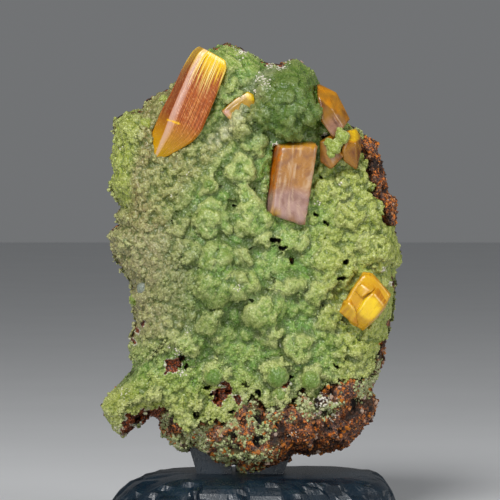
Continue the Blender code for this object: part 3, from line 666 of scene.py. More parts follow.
# %% Mimetite crust: lone balls and white specks
LONE_BALLS = [
    (-6.7, 0.0, 26.1, 1.7, 0.0), (4.4, 0.0, 26.1, 2.0, 0.0), (10.2, 0.0, 25.3, 1.8, 0.2),
    (4.9, 0.0, 22.8, 1.4, 0.4), (-15.4, 0.0, 74.2, 0.9, 1.0), (-18.4, 0.0, 69.8, 1.4, 1.0),
    (-7.4, 0.0, 59.3, 1.1, 0.3), (-20.7, 0.0, 39.0, 1.1, 0.6), (15.8, -9.1, 67.7, 1.25, 0.75),
    (14.2, -9.2, 65.9, 1.3, 0.75), (15.0, -9.2, 66.8, 0.9, 0.75), (13.3, -9.2, 66.8, 0.8, 0.75),
    (15.2, -8.8, 68.8, 0.7, 0.75), (13.8, -9.3, 64.9, 0.8, 0.75), (-19.0, 0.0, 41.2, 1.2, -1.0),
]  # fmt: skip
FLECKS = [
    (-23.0, 66.0, 0.3), (-2.3, 41.6, 0.5), (4.2, 66.7, 0.3), (11.4, 56.3, 0.4), (15.3, 59.7, 0.3),
    (12.8, 68.1, 0.5), (-11.4, 34.0, 0.4), (-14.4, 31.1, 0.4), (4.9, 31.2, 0.3), (-14.0, 57.4, 0.3),
    (-11.2, 61.2, 0.4), (-11.1, 29.0, 0.4), (-1.9, 82.7, 0.7), (5.1, 80.6, 0.9), (2.5, 77.0, 0.6),
    (-13.0, 30.0, 0.7), (-12.2, 26.6, 0.6), (-22.3, 23.0, 0.7), (23.2, 44.4, 0.5), (24.4, 41.8, 0.4),
    (3.6, 80.4, 0.6), (1.3, 78.2, 0.7), (0.2, 75.6, 0.4), (3.9, 66.4, 0.4),
]  # fmt: skip


def lone_balls():
    """Icospheres dented by small balls, on the crust or at their own depth. A tint below 0 means grey."""
    shape, faces = small_ball(4)
    x, y, z = np.moveaxis(crust_points, -1, 0)
    made, yellow = [], []
    for at_x, level, at_z, radius, tint in LONE_BALLS:
        nearest = np.argmin((x - at_x) ** 2 + (z - at_z) ** 2)
        centre = np.array([at_x, min(level, y.ravel()[nearest] + 0.6 * radius), at_z])
        height = balls((centre + shape * radius)[:, None], 0.8, 171)
        made.append(centre + shape * (radius + (0.5 if tint >= 0 else 0.1) * (height - 0.44)))
        yellow.append(np.full(len(shape), tint))
    yellow = np.concatenate(yellow)
    # Painted by the view: each ball gets a painted pale sheen at its sides and is painted deeper green where it faces
    # the camera.
    front = np.tile(-shape[:, 1], len(LONE_BALLS))
    numbers = {"yellow": np.maximum(yellow, 0.0), "grey": 0.85 * (yellow < 0), "rim": 0.4 * (1.0 - front)}
    numbers["deep"] = 0.6 * front * (yellow < 0.7)
    faces = cluster_faces(faces, len(shape), len(made))
    return make_piece("mimetite_lone_balls", np.concatenate(made), [faces], numbers)


def near_spots(points, spots):
    """High near the spots (x, z, radius): a sum of bell curves."""
    x, z = points[..., 0], points[..., 2]
    bells = [np.exp(-((x - at_x) ** 2 + (z - at_z) ** 2) / radius**2) for at_x, at_z, radius in spots]
    return np.sum(bells, axis=0)


druse.append(lone_balls())
calcite_weight = open_crust * near_spots(crust_points, FLECKS)
calcite_specks = druse_piece("calcite_specks", 1, 560, calcite_weight, 0.09, 0.26, 1301)

# %% [markdown]
# ## Mimetite crust: the finish
#
# Mimetite is a lead arsenate with a resinous lustre. Its refractive index is about 2.1, but the druse
# breaks up the gloss, so 1.6 is used. Light sinks a little into each ball. Light and shade are also
# painted into the colour: a painted pale sheen on the lobes' sloping rims, a painted highlight on the
# balls that stand out, and painted deep green shade in the folds, the grooves and under each druse ball.
# The numbers stored on the points say how far a point stands out from its surroundings, so this painted
# light follows the real shape. Tan dust lies on the left. The druse's grains of 0.4 mm are a cell
# pattern, and finer specks a noise.

# %% Mimetite crust: the finish
mimetite, tree, shader, place = new_material("mimetite, resinous green druse")
specks = add(tree, "TexNoise", {"Vector": place, "Scale": 2.9, "Detail": 2.0})
grain = add(tree, "TexVoronoi", {"Vector": place, "Scale": 2.4}, "Distance")
fine, broad, rim, yellow, dust, deep, frost_and_painted_light, pit, spot, chance, grey = [
    add(tree, "Attribute", attribute_name=n, out="Fac")
    for n in ("fine", "broad", "rim", "yellow", "dust", "deep", "frost_and_painted_light", "pit", "spot", "chance", "grey")
]
brown = add(tree, "MapRange", {0: spot, 1: 0.45, 2: 0.6})
rusty = add(tree, "Math", {0: brown, 1: add(tree, "MapRange", {0: specks, 1: 0.45, 2: 0.6})}, operation="MULTIPLY")
paint(tree, shader, "#60902e", [
    # Raised lobes lighter and low ground deeper green: painted light and painted shade from the broad relief.
    (broad, -0.5, 0.7, 1.0, "#8aa244"),
    (yellow, 0.0, 1.0, 0.7, "#a8ac42"),
    (dust, 0.0, 1.0, 0.85, "#846a44"),
    (chance, 0.4, 1.0, 0.25, "#a6aa58"),
    # Pale on the lobes' sloping rims: a painted sheen.
    (rim, 0.06, 0.34, 0.6, "#b8ba80"),
    # Pale tan frost on the upper slope and at the foot; on the lower left, a paler area that is painted light.
    (frost_and_painted_light, 0.0, 1.0, 0.65, "#bcbc9a"),
    # Painted highlight on balls that stand out, and painted shade in the grooves between them.
    (fine, 0.02, 0.2, 0.4, "#c0c67c"),
    (fine, -0.01, -0.15, 0.6, "#486018"),
    # Painted deep green shade in the broad folds.
    (broad, -0.3, -0.9, 0.3, "#3a4e14"),
    (grain, 0.35, 0.05, 0.25, "#d4d698"),
    (grain, 0.45, 0.8, 0.35, "#466018"),
    (specks, 0.56, 0.72, 0.4, "#dcdcaa"),
    (specks, 0.44, 0.28, 0.35, "#506620"),
    # Deep green zones of the crust; on the lone balls this number is painted by the view, deepest where a ball faces
    # the camera.
    (deep, 0.0, 1.0, 0.72, "#3c5c08"),
    (grey, 0.0, 1.0, 1.0, "#858a84"),
    (spot, 0.1, 0.4, 0.75, "#e0dccc"),
    (brown, 0.0, 1.0, 1.0, "#3a1404"),
    (rusty, 0.0, 1.0, 1.0, "#a04c16"),
    # The pores' walls painted near black: painted shade inside the holes.
    (pit, 0.0, 1.0, 1.0, "#160f06"),
])  # fmt: skip
rough = add(tree, "Bump", {"Height": grain, "Distance": 0.12 * MM}, invert=True)
rough = add(tree, "Bump", {"Height": specks, "Distance": 0.06 * MM, "Normal": rough})
tree.links.new(rough, shader.inputs["Normal"])
tree.links.new(add(tree, "MapRange", {0: specks, 1: 0.3, 2: 0.7, 3: 0.55, 4: 0.28}), shader.inputs["Roughness"])
set_sockets(shader, {"IOR": 1.6, "Subsurface Weight": 0.1, "Subsurface Scale": 0.5 * MM})
set_sockets(shader, {"Subsurface Radius": (0.9, 1.0, 0.4)})
finish_piece(crust, mimetite, "mimetite", "mimetite_crust")
for piece in druse:
    finish_piece(piece, mimetite, "mimetite")

calcite, tree, shader, place = new_material("calcite, white specks")
clouds = add(tree, "TexNoise", {"Vector": place, "Scale": 4.0})
paint(tree, shader, "#b8ae96", [(clouds, 0.0, 1.0, 1.0, "#f4f0e4")])
tree.links.new(add(tree, "MapRange", {0: clouds, 3: 0.2, 4: 0.5}), shader.inputs["Roughness"])
set_sockets(shader, {"IOR": 1.6})
finish_piece(calcite_specks, calcite, None)

# %% [markdown]
# ## Limonite matrix: the surface
#
# Limonite is spongy, granular iron rock. It shows along the foot and the right edge and makes the
# whole back. Big crags break the form first, then smaller ones, and balls taken away eat cavities.

# %% Limonite matrix: the surface
ROCK_CELLS = 180


def rock_side(front_side):
    """One side of the rock as a table of points. The front stays behind the crust where that covers it."""
    x, z, share = stone_grid(ROCK_CELLS)
    deep = rim_distance(x, z)
    inside = smooth(deep / 3.0)
    if front_side:
        bare = bareness(x, z)
        level = face_level(x, z) + 2.6 * (1.0 - bare)
        points = np.stack([x, RIM_LEVEL + (level - RIM_LEVEL) * edge_curve(deep, FRONT_EDGE), z], axis=-1)
        points[..., 1] -= inside * bare * 0.7 * crags(points, 5.0, 31)
    else:
        bare = np.ones(x.shape)
        level = BACK_LEVEL - 0.04 * np.abs(z - CENTRE[1]) ** 1.3
        points = np.stack([x, RIM_LEVEL + (level - RIM_LEVEL) * edge_curve(deep, BACK_EDGE), z], axis=-1)
        points[..., 1] += inside * (0.8 * crags(points, 11.0, 41) + 0.6 * crags(points, 5.0, 51))
    outward = 1.0 if front_side else -1.0
    off_rim = smooth(deep / 0.4) * evenness(x, z)
    for cell, salt, amount in ((2.4, 301, 0.55), (1.2, 311, 0.55), (0.6, 321, 0.4)):
        push = outward * amount * (crags(points, cell, salt) + 0.1 * cell) * bare * off_rim
        points = points + push[..., None] * normals_of(points)
    cavity = smooth((balls(points, 2.3, 401) - 1.45) / 0.35) * bare * smooth(deep / 1.5)
    points = points - (outward * 1.2 * cavity)[..., None] * normals_of(points)
    if front_side:
        seat = np.max(seat_shares(x, z), axis=0)
        points[..., 1] -= seat * np.minimum(points[..., 1] - ROCK_SEAT_LEVEL, 0.0)
    return points, share, cavity, bare


def rock_piece(front, back):
    """Both sides joined along the outline, which they share."""
    share = front[1]
    index = np.arange(share.size).reshape(share.shape)
    edge = share > 0.9999
    behind = np.where(edge, index, index + share.size)
    keep = np.append(np.ones(share.size, bool), ~edge.ravel())
    renumber = np.cumsum(keep) - 1
    points = np.concatenate([front[0].reshape(-1, 3), back[0].reshape(-1, 3)])[keep]
    cavity = np.append(front[2], back[2])[keep]
    patch = np.append(green_patches(front[0]), 0.0 * back[2])[keep]
    faces = [renumber[quads(index)], renumber[quads(behind)[:, ::-1]]]
    return make_piece("limonite_rock_surface", points, faces, {"cavity": cavity, "patch": patch})


def green_patches(points):
    """Where mimetite also sits on the rock at the lower left: a soft area cut into patches by clouds."""
    x, z = points[..., 0], points[..., 2]
    area = smooth(1.9 - np.hypot((x + 6.5) / 6.5, (z - 15.0) / 6.0))
    area = np.maximum(area, smooth(1.6 - np.hypot((x - 13.1) / 1.5, (z - 20.7) / 1.8)))
    below = np.interp(x, *np.array(LOWER_BORDER).T) - z
    area = np.maximum(area, 0.9 * smooth(1.4 - np.abs(below) / 3.0))
    return area * smooth((haze(x, z, 1.7, 64) + 0.5 * haze(x, z, 0.7, 65) - 0.60) / 0.16)


rock_front, rock_back = rock_side(True), rock_side(False)
rock = rock_piece(rock_front, rock_back)


def sprinkle(points, outward, weight, count, least, most, sink, wobble, salt):
    """Copies of a 20-sided grain on a side of the rock: points, faces, and each copy's own number."""
    shape, faces = small_ball(1)
    seeds = scatter(cell_area(points) * weight, count, salt)
    k = np.arange(count)
    radii = least + (most - least) * cell_random(k, 0 * k, 0 * k, salt + 1) ** 2
    normals = outward * normals_of(points).reshape(-1, 3)[seeds]
    made = cluster(shape, points.reshape(-1, 3)[seeds], normals, radii, sink, wobble, salt + 2)
    own = np.repeat(cell_random(k, 0 * k, 0 * k + 1, salt + 3), len(shape))
    return made, [cluster_faces(faces, len(shape), count)], own


def rock_crumbs(name, side, outward, count, salt):
    """Angular crumbs on one side of the rock where it is bare. Each has its own tone."""
    points, _, cavity, bare = side
    weight = (bare > 0.6) * (1.0 - 0.7 * cavity)
    made, faces, tone = sprinkle(points, outward, weight, count, 0.12, 0.42, 0.2, 1.3, salt)
    return make_piece(name, made, faces, {"tone": tone, "cavity": 0 * tone}, soft=False)


def patch_grains(name, weight, count, least, most, salt):
    """Grains on the front of the bare rock, each as likely as the weight, with radii in mm."""
    points, _, _, bare = rock_front
    made, faces, own = sprinkle(points, 1.0, weight * (bare > 0.4), count, least, most, 0.1, 1.0, salt)
    # The frost share also makes these grains paler against their own shade, as painted light.
    numbers = {"yellow": 0.3 + 0.5 * own, "chance": own, "rim": 0.15 + 0.35 * own, "frost_and_painted_light": 0.4 + 0.6 * own}
    return make_piece(name, made, faces, numbers)


crumbs = [
    rock_crumbs("limonite_crumbs_front", rock_front, 1.0, 2600, 1201),
    rock_crumbs("limonite_crumbs_back", rock_back, -1.0, 1200, 1221),
]
on_rock = patch_grains("mimetite_on_limonite", green_patches(rock_front[0]), 3000, 0.14, 0.42, 1251)
finish_piece(on_rock, mimetite, "mimetite")
ROCK_FLECKS = [(12.9, 20.6, 1.3), (14.1, 19.0, 0.7), (12.2, 22.0, 0.8), (-8.8, 15.2, 0.8), (7.0, 15.8, 0.5)]
calcite_weight = near_spots(rock_front[0], ROCK_FLECKS)
finish_piece(patch_grains("calcite_on_limonite", calcite_weight, 260, 0.08, 0.3, 1271), calcite, None)

# %% [markdown]
# ## Limonite matrix: the finish
#
# Limonite is iron oxide from ochre to nearly black. It is earthy and dull, with a few glassy grains,
# and here its orange grains sit in dark brown with grey-mauve patches. The patches are 5 mm across,
# the grains 0.8 mm and the grit 0.3 mm. The crumbs have the same finish, and their own tones besides.

# %% Limonite matrix: the finish
for name, crumb_share in (("limonite, earthy brown", 0.0), ("limonite, glassy crumbs", 1.0)):
    limonite, tree, shader, place = new_material(name)
    patches = add(tree, "TexNoise", {"Vector": place, "Scale": 0.22, "Detail": 3.0})
    grains = add(tree, "TexNoise", {"Vector": place, "Scale": 1.3, "Detail": 3.0, "Roughness": 0.7})
    grit = add(tree, "TexNoise", {"Vector": place, "Scale": 3.3, "Detail": 2.0})
    tone, patch, cavity = [
        add(tree, "Attribute", attribute_name=n, out="Fac") for n in ("tone", "patch", "cavity")
    ]
    paint(tree, shader, "#2c1206", [
        (grains, 0.42, 0.54, 1.0, "#7c4018"),
        (patches, 0.52, 0.6, 0.55, "#6a5450"),
        (grains, 0.55, 0.62, 0.9, "#e07810"),
        (grit, 0.58, 0.68, 0.55, "#d8a870"),
        (grit, 0.47, 0.37, 0.9, "#120602"),
        (tone, 0.5, 0.8, 0.75 * crumb_share, "#d07a10"),
        (patches, 0.49, 0.41, 0.88, "#180a04"),
        (tone, 0.88, 0.94, 0.8 * crumb_share, "#b09c8c"),
        (patch, 0.0, 1.0, 1.0, "#98955e"),
        # The cavities painted near black: painted shade in the hollows.
        (cavity, 0.0, 1.0, 1.0, "#0c0502"),
    ])  # fmt: skip
    rough = add(tree, "Bump", {"Height": grains, "Distance": 0.35 * MM})
    rough = add(tree, "Bump", {"Height": grit, "Distance": 0.12 * MM, "Normal": rough})
    tree.links.new(rough, shader.inputs["Normal"])
    tree.links.new(add(tree, "MapRange", {0: grains, 1: 0.3, 2: 0.7, 3: 0.85, 4: 0.45}), shader.inputs["Roughness"])
    if crumb_share:
        for piece in crumbs:
            finish_piece(piece, limonite, "limonite")
    else:
        finish_piece(rock, limonite, "limonite", "limonite_matrix")

# %% [markdown]
# ## Wulfenite barrel: the surface
#
# The long crystal at the upper left has a bevelled square section with one corner forward. A section
# is a short list of corners, and a table of weights turns the corners into many points round it.
# Blurring the weights rounds the corners. The section is carried along the crystal's axis, and fine
# grooves along it are the striations that growth leaves on wulfenite.

# %% Wulfenite barrel: the surface
BARREL_STATIONS = np.array([
    (-0.8, -1.4, 1.0, 0.50, -9.8), (0.2, -2.2, 1.8, 0.48, -10.5), (2.2, -2.8, 3.0, 0.42, -11.4),
    (4.2, -3.1, 4.3, 0.36, -12.0), (6.5, -3.3, 4.8, 0.31, -12.5), (10.0, -3.3, 4.5, 0.28, -12.9),
    (15.0, -3.6, 3.9, 0.26, -13.3), (18.6, -3.4, 3.4, 0.25, -13.4), (19.3, -2.9, 2.7, 0.27, -13.0),
])  # fmt: skip
BARREL_AXIS = np.array([0.480, 0.0, 0.877])
BARREL_ACROSS = np.array([0.877, 0.0, -0.480])
BARREL_FOOT = np.array([-16.1, 0.0, 65.1])
BARREL_START, BARREL_END = -0.8, 19.3
BARREL_CAP = ((0.97, 0.1), (0.9, 0.16), (0.6, 0.2), (0.3, 0.22))
CRACK_FROM, CRACK_STEP = (-14.6, 70.7), (2.1, -0.7)


def ring_weights(counts, rounding):
    """Each row mixes two neighbour corners. Counts give the points per side, and a blur rounds corners."""
    rows = []
    for side, count in enumerate(counts):
        share = (np.arange(count) + 0.5) / count
        row = np.zeros((count, len(counts)))
        row[:, side] = 1.0 - share
        row[:, (side + 1) % len(counts)] = share
        rows.append(row)
    weights = np.concatenate(rows)
    return np.mean([np.roll(weights, n, axis=0) for n in range(-rounding, rounding + 1)], axis=0)


def eased(values, reach):
    """A row of values blurred over its neighbours, with its ends kept."""
    padded = np.pad(values, reach, mode="reflect", reflect_type="odd")
    return np.convolve(padded, np.ones(2 * reach + 1) / (2 * reach + 1), mode="valid")


def barrel_surface(rows=160):
    """Sections at even steps of the axis, each with eight corners measured from the photograph."""
    along = np.linspace(BARREL_START, BARREL_END, rows)
    left, right, ridge, level = [
        eased(np.interp(along, BARREL_STATIONS[:, 0], BARREL_STATIONS[:, n]), 6) for n in (1, 2, 3, 4)
    ]
    width = right - left
    front = left + ridge * width
    side = 0.42 * (1.0 - ridge) * width + 1.2
    near, bevel = 0.28 * width, 0.085 * width
    across = [front - bevel, front + bevel, right - 0.5 * bevel, right, right - ridge * width,
              left + 0.3 * width, left, left + 0.3 * bevel]  # fmt: skip
    deep = [level + 0.25 * bevel, level, level + near, level + near + bevel, level + near + side,
            level + near + side, level + side, level + side - bevel]  # fmt: skip
    counts = (20, 60, 6, 20, 22, 20, 6, 30)
    weights = ring_weights(counts, 3)
    p, q = np.stack(across, axis=1) @ weights.T, np.stack(deep, axis=1) @ weights.T
    points = BARREL_FOOT + along[:, None, None] * BARREL_AXIS + p[..., None] * BARREL_ACROSS
    points[..., 1] += q
    column = np.broadcast_to(np.arange(sum(counts)) / sum(counts), p.shape)
    length = np.broadcast_to(along[:, None], p.shape)
    lines = haze(column * 120.0, length * 0.12, 1.0, 71) + 0.6 * haze(column * 260.0, length * 0.3, 1.0, 72)
    cross = haze(column * 6.0, length * 4.0, 1.0, 73)
    x, y, z = np.moveaxis(points, -1, 0)
    ux, uz = CRACK_STEP
    share = ((x - CRACK_FROM[0]) * ux + (z - CRACK_FROM[1]) * uz) / (ux * ux + uz * uz)
    share = np.clip(share, 0.0, 1.0)
    away = np.hypot(x - CRACK_FROM[0] - ux * share, z - CRACK_FROM[1] - uz * share)
    crack = smooth(1.3 - away / (0.03 + 0.26 * haze(x, z, 0.4, 74))) * (y < -8.0)
    on_left = smooth((column - 0.83) / 0.02)
    fade = smooth((along + 0.4) / 1.5) * smooth((19.2 - along) / 1.0)
    relief = 0.10 * (lines - 0.8) * (1.0 - on_left) + 0.05 * (cross - 0.5) * on_left
    points = points - (relief * fade[:, None])[..., None] * normals_of(points)
    share_along = (length - BARREL_START) / (BARREL_END - BARREL_START)
    return points, {"along": share_along, "turn": column, "lines": lines, "crack": crack}


def barrel_piece():
    """The barrel's table with its ends drawn in to a rounded edge."""
    points, numbers = barrel_surface()
    ends = []
    for row, step in ((0, -1.0), (-1, 1.0)):
        middle = points[row].mean(axis=0)
        around = points[row] - middle
        ends.append([middle + around * shrink + step * out * BARREL_AXIS for shrink, out in BARREL_CAP])
    table = np.concatenate([np.array(ends[0][::-1]), points, np.array(ends[1])])
    closed, faces = closed_tube(table)
    full = {}
    for key, value in numbers.items():
        rows = np.pad(value, ((len(BARREL_CAP), len(BARREL_CAP)), (0, 0)), mode="edge")
        full[key] = np.append(rows.ravel(), [value[0, 0], value[-1, 0]])
    return make_piece("wulfenite_barrel", closed, faces, full)


barrel = barrel_piece()

# %% [markdown]
# ## Wulfenite barrel: the finish
#
# Wulfenite is lead molybdate with a resinous to adamantine lustre. Its refractive index is about 2.3.
# At that index a pale studio would wash out the orange, so the specular level takes the glare down. It
# lets a little light through. This one is yellow at both ends and orange-brown between. At the top the
# yellow is brighter and carries cream lines, a painted glow as of light coming through, and a pale band
# down the front bevel is a painted highlight. Fine dashes of light and dark lie along its axis, which
# leans 28.7 degrees.

# %% Wulfenite barrel: the finish
WULFENITE = {"IOR": 2.3, "Specular IOR Level": 0.14, "Transmission Weight": 0.1}
barrel_glass, tree, shader, place = new_material("wulfenite, orange and striated")
along, turn, lines, crack = [
    add(tree, "Attribute", attribute_name=n, out="Fac") for n in ("along", "turn", "lines", "crack")
]
flecks = add(tree, "TexNoise", {"Vector": place, "Scale": 2.2, "Detail": 2.0})
dashes = add(tree, "VectorRotate", {"Vector": place, "Angle": math.radians(28.7)}, rotation_type="Y_AXIS")
dashes = add(tree, "VectorMath", {0: dashes, 1: (3.4, 1.0, 0.5)}, operation="MULTIPLY")
dashes = add(tree, "TexNoise", {"Vector": dashes, "Scale": 1.6, "Detail": 2.0})
ragged = add(tree, "MapRange", {0: lines, 1: 0.3, 2: 1.3, 3: -0.14, 4: 0.14})
top = add(tree, "Math", {0: along, 1: ragged}, operation="ADD")
near_top = add(tree, "MapRange", {0: along, 1: 0.62, 2: 0.85})
cream = add(tree, "MapRange", {0: lines, 1: 0.85, 2: 1.2, 4: 0.8})
cream = add(tree, "Math", {0: near_top, 1: cream}, operation="MULTIPLY")
paint(tree, shader, "#b45400", [
    (lines, 0.98, 1.4, 0.45, "#f0b060"),
    (lines, 0.7, 0.35, 0.4, "#7a3202"),
    (dashes, 0.56, 0.68, 0.6, "#eaa45c"),
    (dashes, 0.46, 0.34, 0.6, "#8a3a00"),
    # A brighter yellow top with cream lines: a painted glow, as of light coming through the top.
    (top, 0.74, 0.9, 1.0, "#ffd000"),
    (cream, 0.0, 1.0, 1.0, "#fcf0b8"),
    (turn, 0.835, 0.845, 0.55, "#7a3400"),
    (along, 0.38, 0.04, 0.95, "#e0a800"),
    # A pale band down the front bevel: a painted highlight.
    (turn, 0.12, 0.06, 0.5, "#e0c0b0"),
    (flecks, 0.62, 0.74, 0.3, "#e8b070"),
    (crack, 0.0, 1.0, 1.0, "#ffc400"),
])  # fmt: skip
tree.links.new(add(tree, "MapRange", {0: flecks, 1: 0.3, 2: 0.7, 3: 0.16, 4: 0.28}), shader.inputs["Roughness"])
set_sockets(shader, WULFENITE)
finish_piece(barrel, barrel_glass, "wulfenite", "wulfenite_upper_left")

# %% [markdown]
# ## Wulfenite blocks: the surface
#
# The other crystals are blocks with flat faces. A convex block is what all its face planes leave
# standing, so its radius in a direction is the least distance to a plane in that direction. A high
# power mean takes the place of the least value, and that rounds every edge a little.

# %% Wulfenite blocks: the surface
CENTRE_BLOCK = [
    (4.9, -10.6, 66.0), (11.55, -10.2, 66.5), (9.3, -9.7, 52.3), (3.3, -10.1, 54.2),
    (3.7, -5.6, 67.0), (10.5, -5.4, 67.4), (8.3, -5.4, 52.1), (1.9, -5.6, 54.4),
]  # fmt: skip
UPPER_SMALL_FACE = [
    (-5.4, -9.2, 72.3), (-2.9, -8.9, 74.4), (-0.7, -8.7, 75.7), (0.3, -9.0, 75.1),
    (0.6, -9.2, 73.0), (-3.8, -9.6, 70.6),
]  # fmt: skip
UPPER_RIGHT_FACES = [
    [(11.4, -8.8, 74.9), (13.9, -9.0, 72.5), (16.0, -8.6, 69.5), (14.4, -8.8, 67.2), (12.0, -9.2, 70.5),
     (11.4, -6.2, 77.2), (14.8, -6.2, 75.5), (17.2, -5.8, 70.8)],
    [(16.85, -7.6, 68.8), (18.25, -6.4, 69.2), (19.0, -6.6, 67.9), (18.1, -9.2, 66.7), (16.5, -9.4, 67.0),
     (15.8, -9.6, 65.1), (16.0, -9.0, 63.5), (18.3, -8.2, 61.9), (19.1, -7.4, 65.5), (14.6, -5.8, 68.4)],
    [(11.8, -9.0, 67.0), (13.6, -9.4, 66.8), (15.9, -9.4, 64.3), (14.1, -9.2, 62.3), (13.6, -8.9, 62.1),
     (11.9, -8.2, 63.4), (16.6, -6.0, 66.4), (14.6, -6.0, 68.6)],
]  # fmt: skip
LOWER_RIGHT_CORE = [
    (19.4, -9.2, 43.8), (21.1, -9.2, 43.6), (22.6, -9.2, 42.2), (24.2, -9.2, 40.1), (23.2, -9.2, 37.9),
    (21.7, -9.2, 36.1), (19.4, -9.0, 34.1), (17.3, -9.2, 35.0), (15.4, -9.2, 37.7), (16.4, -9.6, 39.4),
    (18.2, -9.4, 42.4),
]  # fmt: skip
LOWER_RIGHT_FACES = [
    LOWER_RIGHT_CORE,
    [(18.3, -10.6, 37.6), (19.6, -10.9, 39.6), (21.0, -10.8, 40.7), (23.0, -10.2, 38.2), (21.3, -10.2, 36.0),
     (20.6, -10.3, 35.4), (22.5, -8.2, 42.3), (24.4, -7.6, 40.2), (23.3, -7.8, 37.7), (21.7, -8.0, 35.8),
     (19.4, -8.6, 33.8), (17.2, -9.0, 35.5)],
    [(17.7, -9.4, 41.0), (19.1, -9.8, 42.0), (20.95, -10.4, 40.8), (19.1, -10.2, 39.7), (18.8, -8.2, 43.2),
     (19.4, -7.8, 44.2), (21.1, -7.4, 43.9), (22.5, -7.6, 42.4)],
    [(15.2, -9.0, 37.2), (16.0, -9.2, 39.2), (17.2, -9.4, 39.6), (16.7, -10.0, 38.8), (18.1, -10.5, 37.5),
     (17.2, -9.6, 35.5), (18.6, -9.2, 34.6)],
]  # fmt: skip


def with_back(front, back_level):
    """Front corners, and the same corners again at the crystal's buried back."""
    return [*front, *[(x, back_level, z) for x, _, z in front]]


def hull_planes(corners):
    """The outward normals and distances of the flat faces of the tightest shape round the corners."""
    mesh = bmesh.new()
    for corner in corners:
        mesh.verts.new(corner)
    bmesh.ops.convex_hull(mesh, input=mesh.verts[:])
    bmesh.ops.delete(mesh, geom=[v for v in mesh.verts if not v.link_faces], context="VERTS")
    bmesh.ops.dissolve_limit(mesh, angle_limit=math.radians(4.0), verts=mesh.verts[:], edges=mesh.edges[:])
    bmesh.ops.recalc_face_normals(mesh, faces=mesh.faces[:])
    normals = np.array([f.normal[:] for f in mesh.faces])
    middles = np.array([f.calc_center_median()[:] for f in mesh.faces])
    mesh.free()
    return normals, (normals * middles).sum(axis=1)


def block_table(corners, rows=38, columns=76, sharpness=44.0):
    """A block's surface over latitude and longitude, with each point's ray, nearness to an edge, and face."""
    normals, reach = hull_planes(corners)
    middle = np.mean(corners, axis=0)
    reach = reach - normals @ middle
    latitude = np.linspace(0.0, np.pi, rows + 2)[1:-1]
    longitude = np.linspace(0.0, 2 * np.pi, columns, endpoint=False)
    lat, lon = np.meshgrid(latitude, longitude, indexing="ij")
    ray = np.stack([np.sin(lat) * np.cos(lon), np.cos(lat), np.sin(lat) * np.sin(lon)], axis=-1)
    pull = np.maximum(ray @ normals.T, 0.0) / reach
    radius = (pull**sharpness).sum(axis=-1) ** (-1.0 / sharpness)
    ordered = np.sort(pull, axis=-1)
    edge = smooth((ordered[..., -2] / ordered[..., -1] - 0.9) / 0.1)
    return middle + radius[..., None] * ray, ray, edge, normals[pull.argmax(axis=-1)]


def block_piece(name, blocks, grain, bright_spot, pale_spot):
    """Blocks in one mesh. Fine lines run along the grain, and two spots (x, z, radius) have their own tint: a bright
    spot and a pale spot of painted sheen.
    """
    all_points, all_faces = [], []
    numbers = {key: [] for key in ("up", "left", "edge", "lines", "bright", "pale")}
    start = 0
    side = np.cross(np.array(grain), (0.0, 1.0, 0.0))
    for corners in blocks:
        table, ray, edge, face = block_table(corners)
        across, length = table @ side, table @ np.array(grain)
        lines = haze(across * 4.0, length * 0.35, 1.0, 81) + 0.6 * haze(across * 8.0, length * 0.7, 1.0, 82)
        table = table + (0.06 * (lines - 0.8) * (1.0 - edge))[..., None] * ray
        points, faces = closed_tube(table)
        all_points.append(points)
        all_faces += [some + start for some in faces]
        start += len(points)
        bright, pale = [
            smooth(4.0 * (1.15 - np.hypot(table[..., 0] - x, table[..., 2] - z) / r))
            for x, z, r in (bright_spot, pale_spot)
        ]
        new = {"up": face[..., 2], "left": -face[..., 0], "edge": edge, "lines": lines, "bright": bright, "pale": pale}
        for key, value in new.items():
            numbers[key].append(np.append(value.ravel(), [value[0, 0], value[-1, 0]]))
    numbers = {key: np.concatenate(value) for key, value in numbers.items()}
    return make_piece(name, np.concatenate(all_points), all_faces, numbers)


BACKS = (-3.0, -3.4, -3.9, -3.9)
blocks = {
    "wulfenite_centre": (
        "wulfenite_block_centre", [CENTRE_BLOCK], (0.12, 0.0, 0.99), (4.0, 54.5, 0.8), (6.5, 49.5, 9.0)
    ),
    "wulfenite_upper_small": (
        "wulfenite_block_small", [with_back(UPPER_SMALL_FACE, -4.6)], (0.8, 0.0, 0.6),
        (0.0, 75.2, 1.1), (-4.6, 71.6, 0.9),
    ),
    "wulfenite_upper_right": (
        "wulfenite_blocks_upper", [with_back(f, b) for f, b in zip(UPPER_RIGHT_FACES, BACKS)], (0.5, 0.0, -0.87),
        (17.8, 68.1, 1.1), (14.4, 69.8, 1.9),
    ),
    "wulfenite_lower_right": (
        "wulfenite_blocks_lower", [with_back(f, b) for f, b in zip(LOWER_RIGHT_FACES, BACKS)], (0.6, 0.0, 0.8),
        (20.4, 38.0, 1.9), (17.0, 37.4, 1.2),
    ),
}  # fmt: skip

# %% [markdown]
# ## Wulfenite blocks: the finish
#
# The same mineral in other tints: the tall middle block is brown under a painted mauve sheen, the lower
# right group is bright yellow, and the small ones are golden and amber. A tint is a list of colours: the
# middle, dark and light lines, the edges, the upper faces, the left faces, and the bright and the pale
# spot. The pale spot is a painted sheen, and on the middle block the left faces get a painted orange glow.

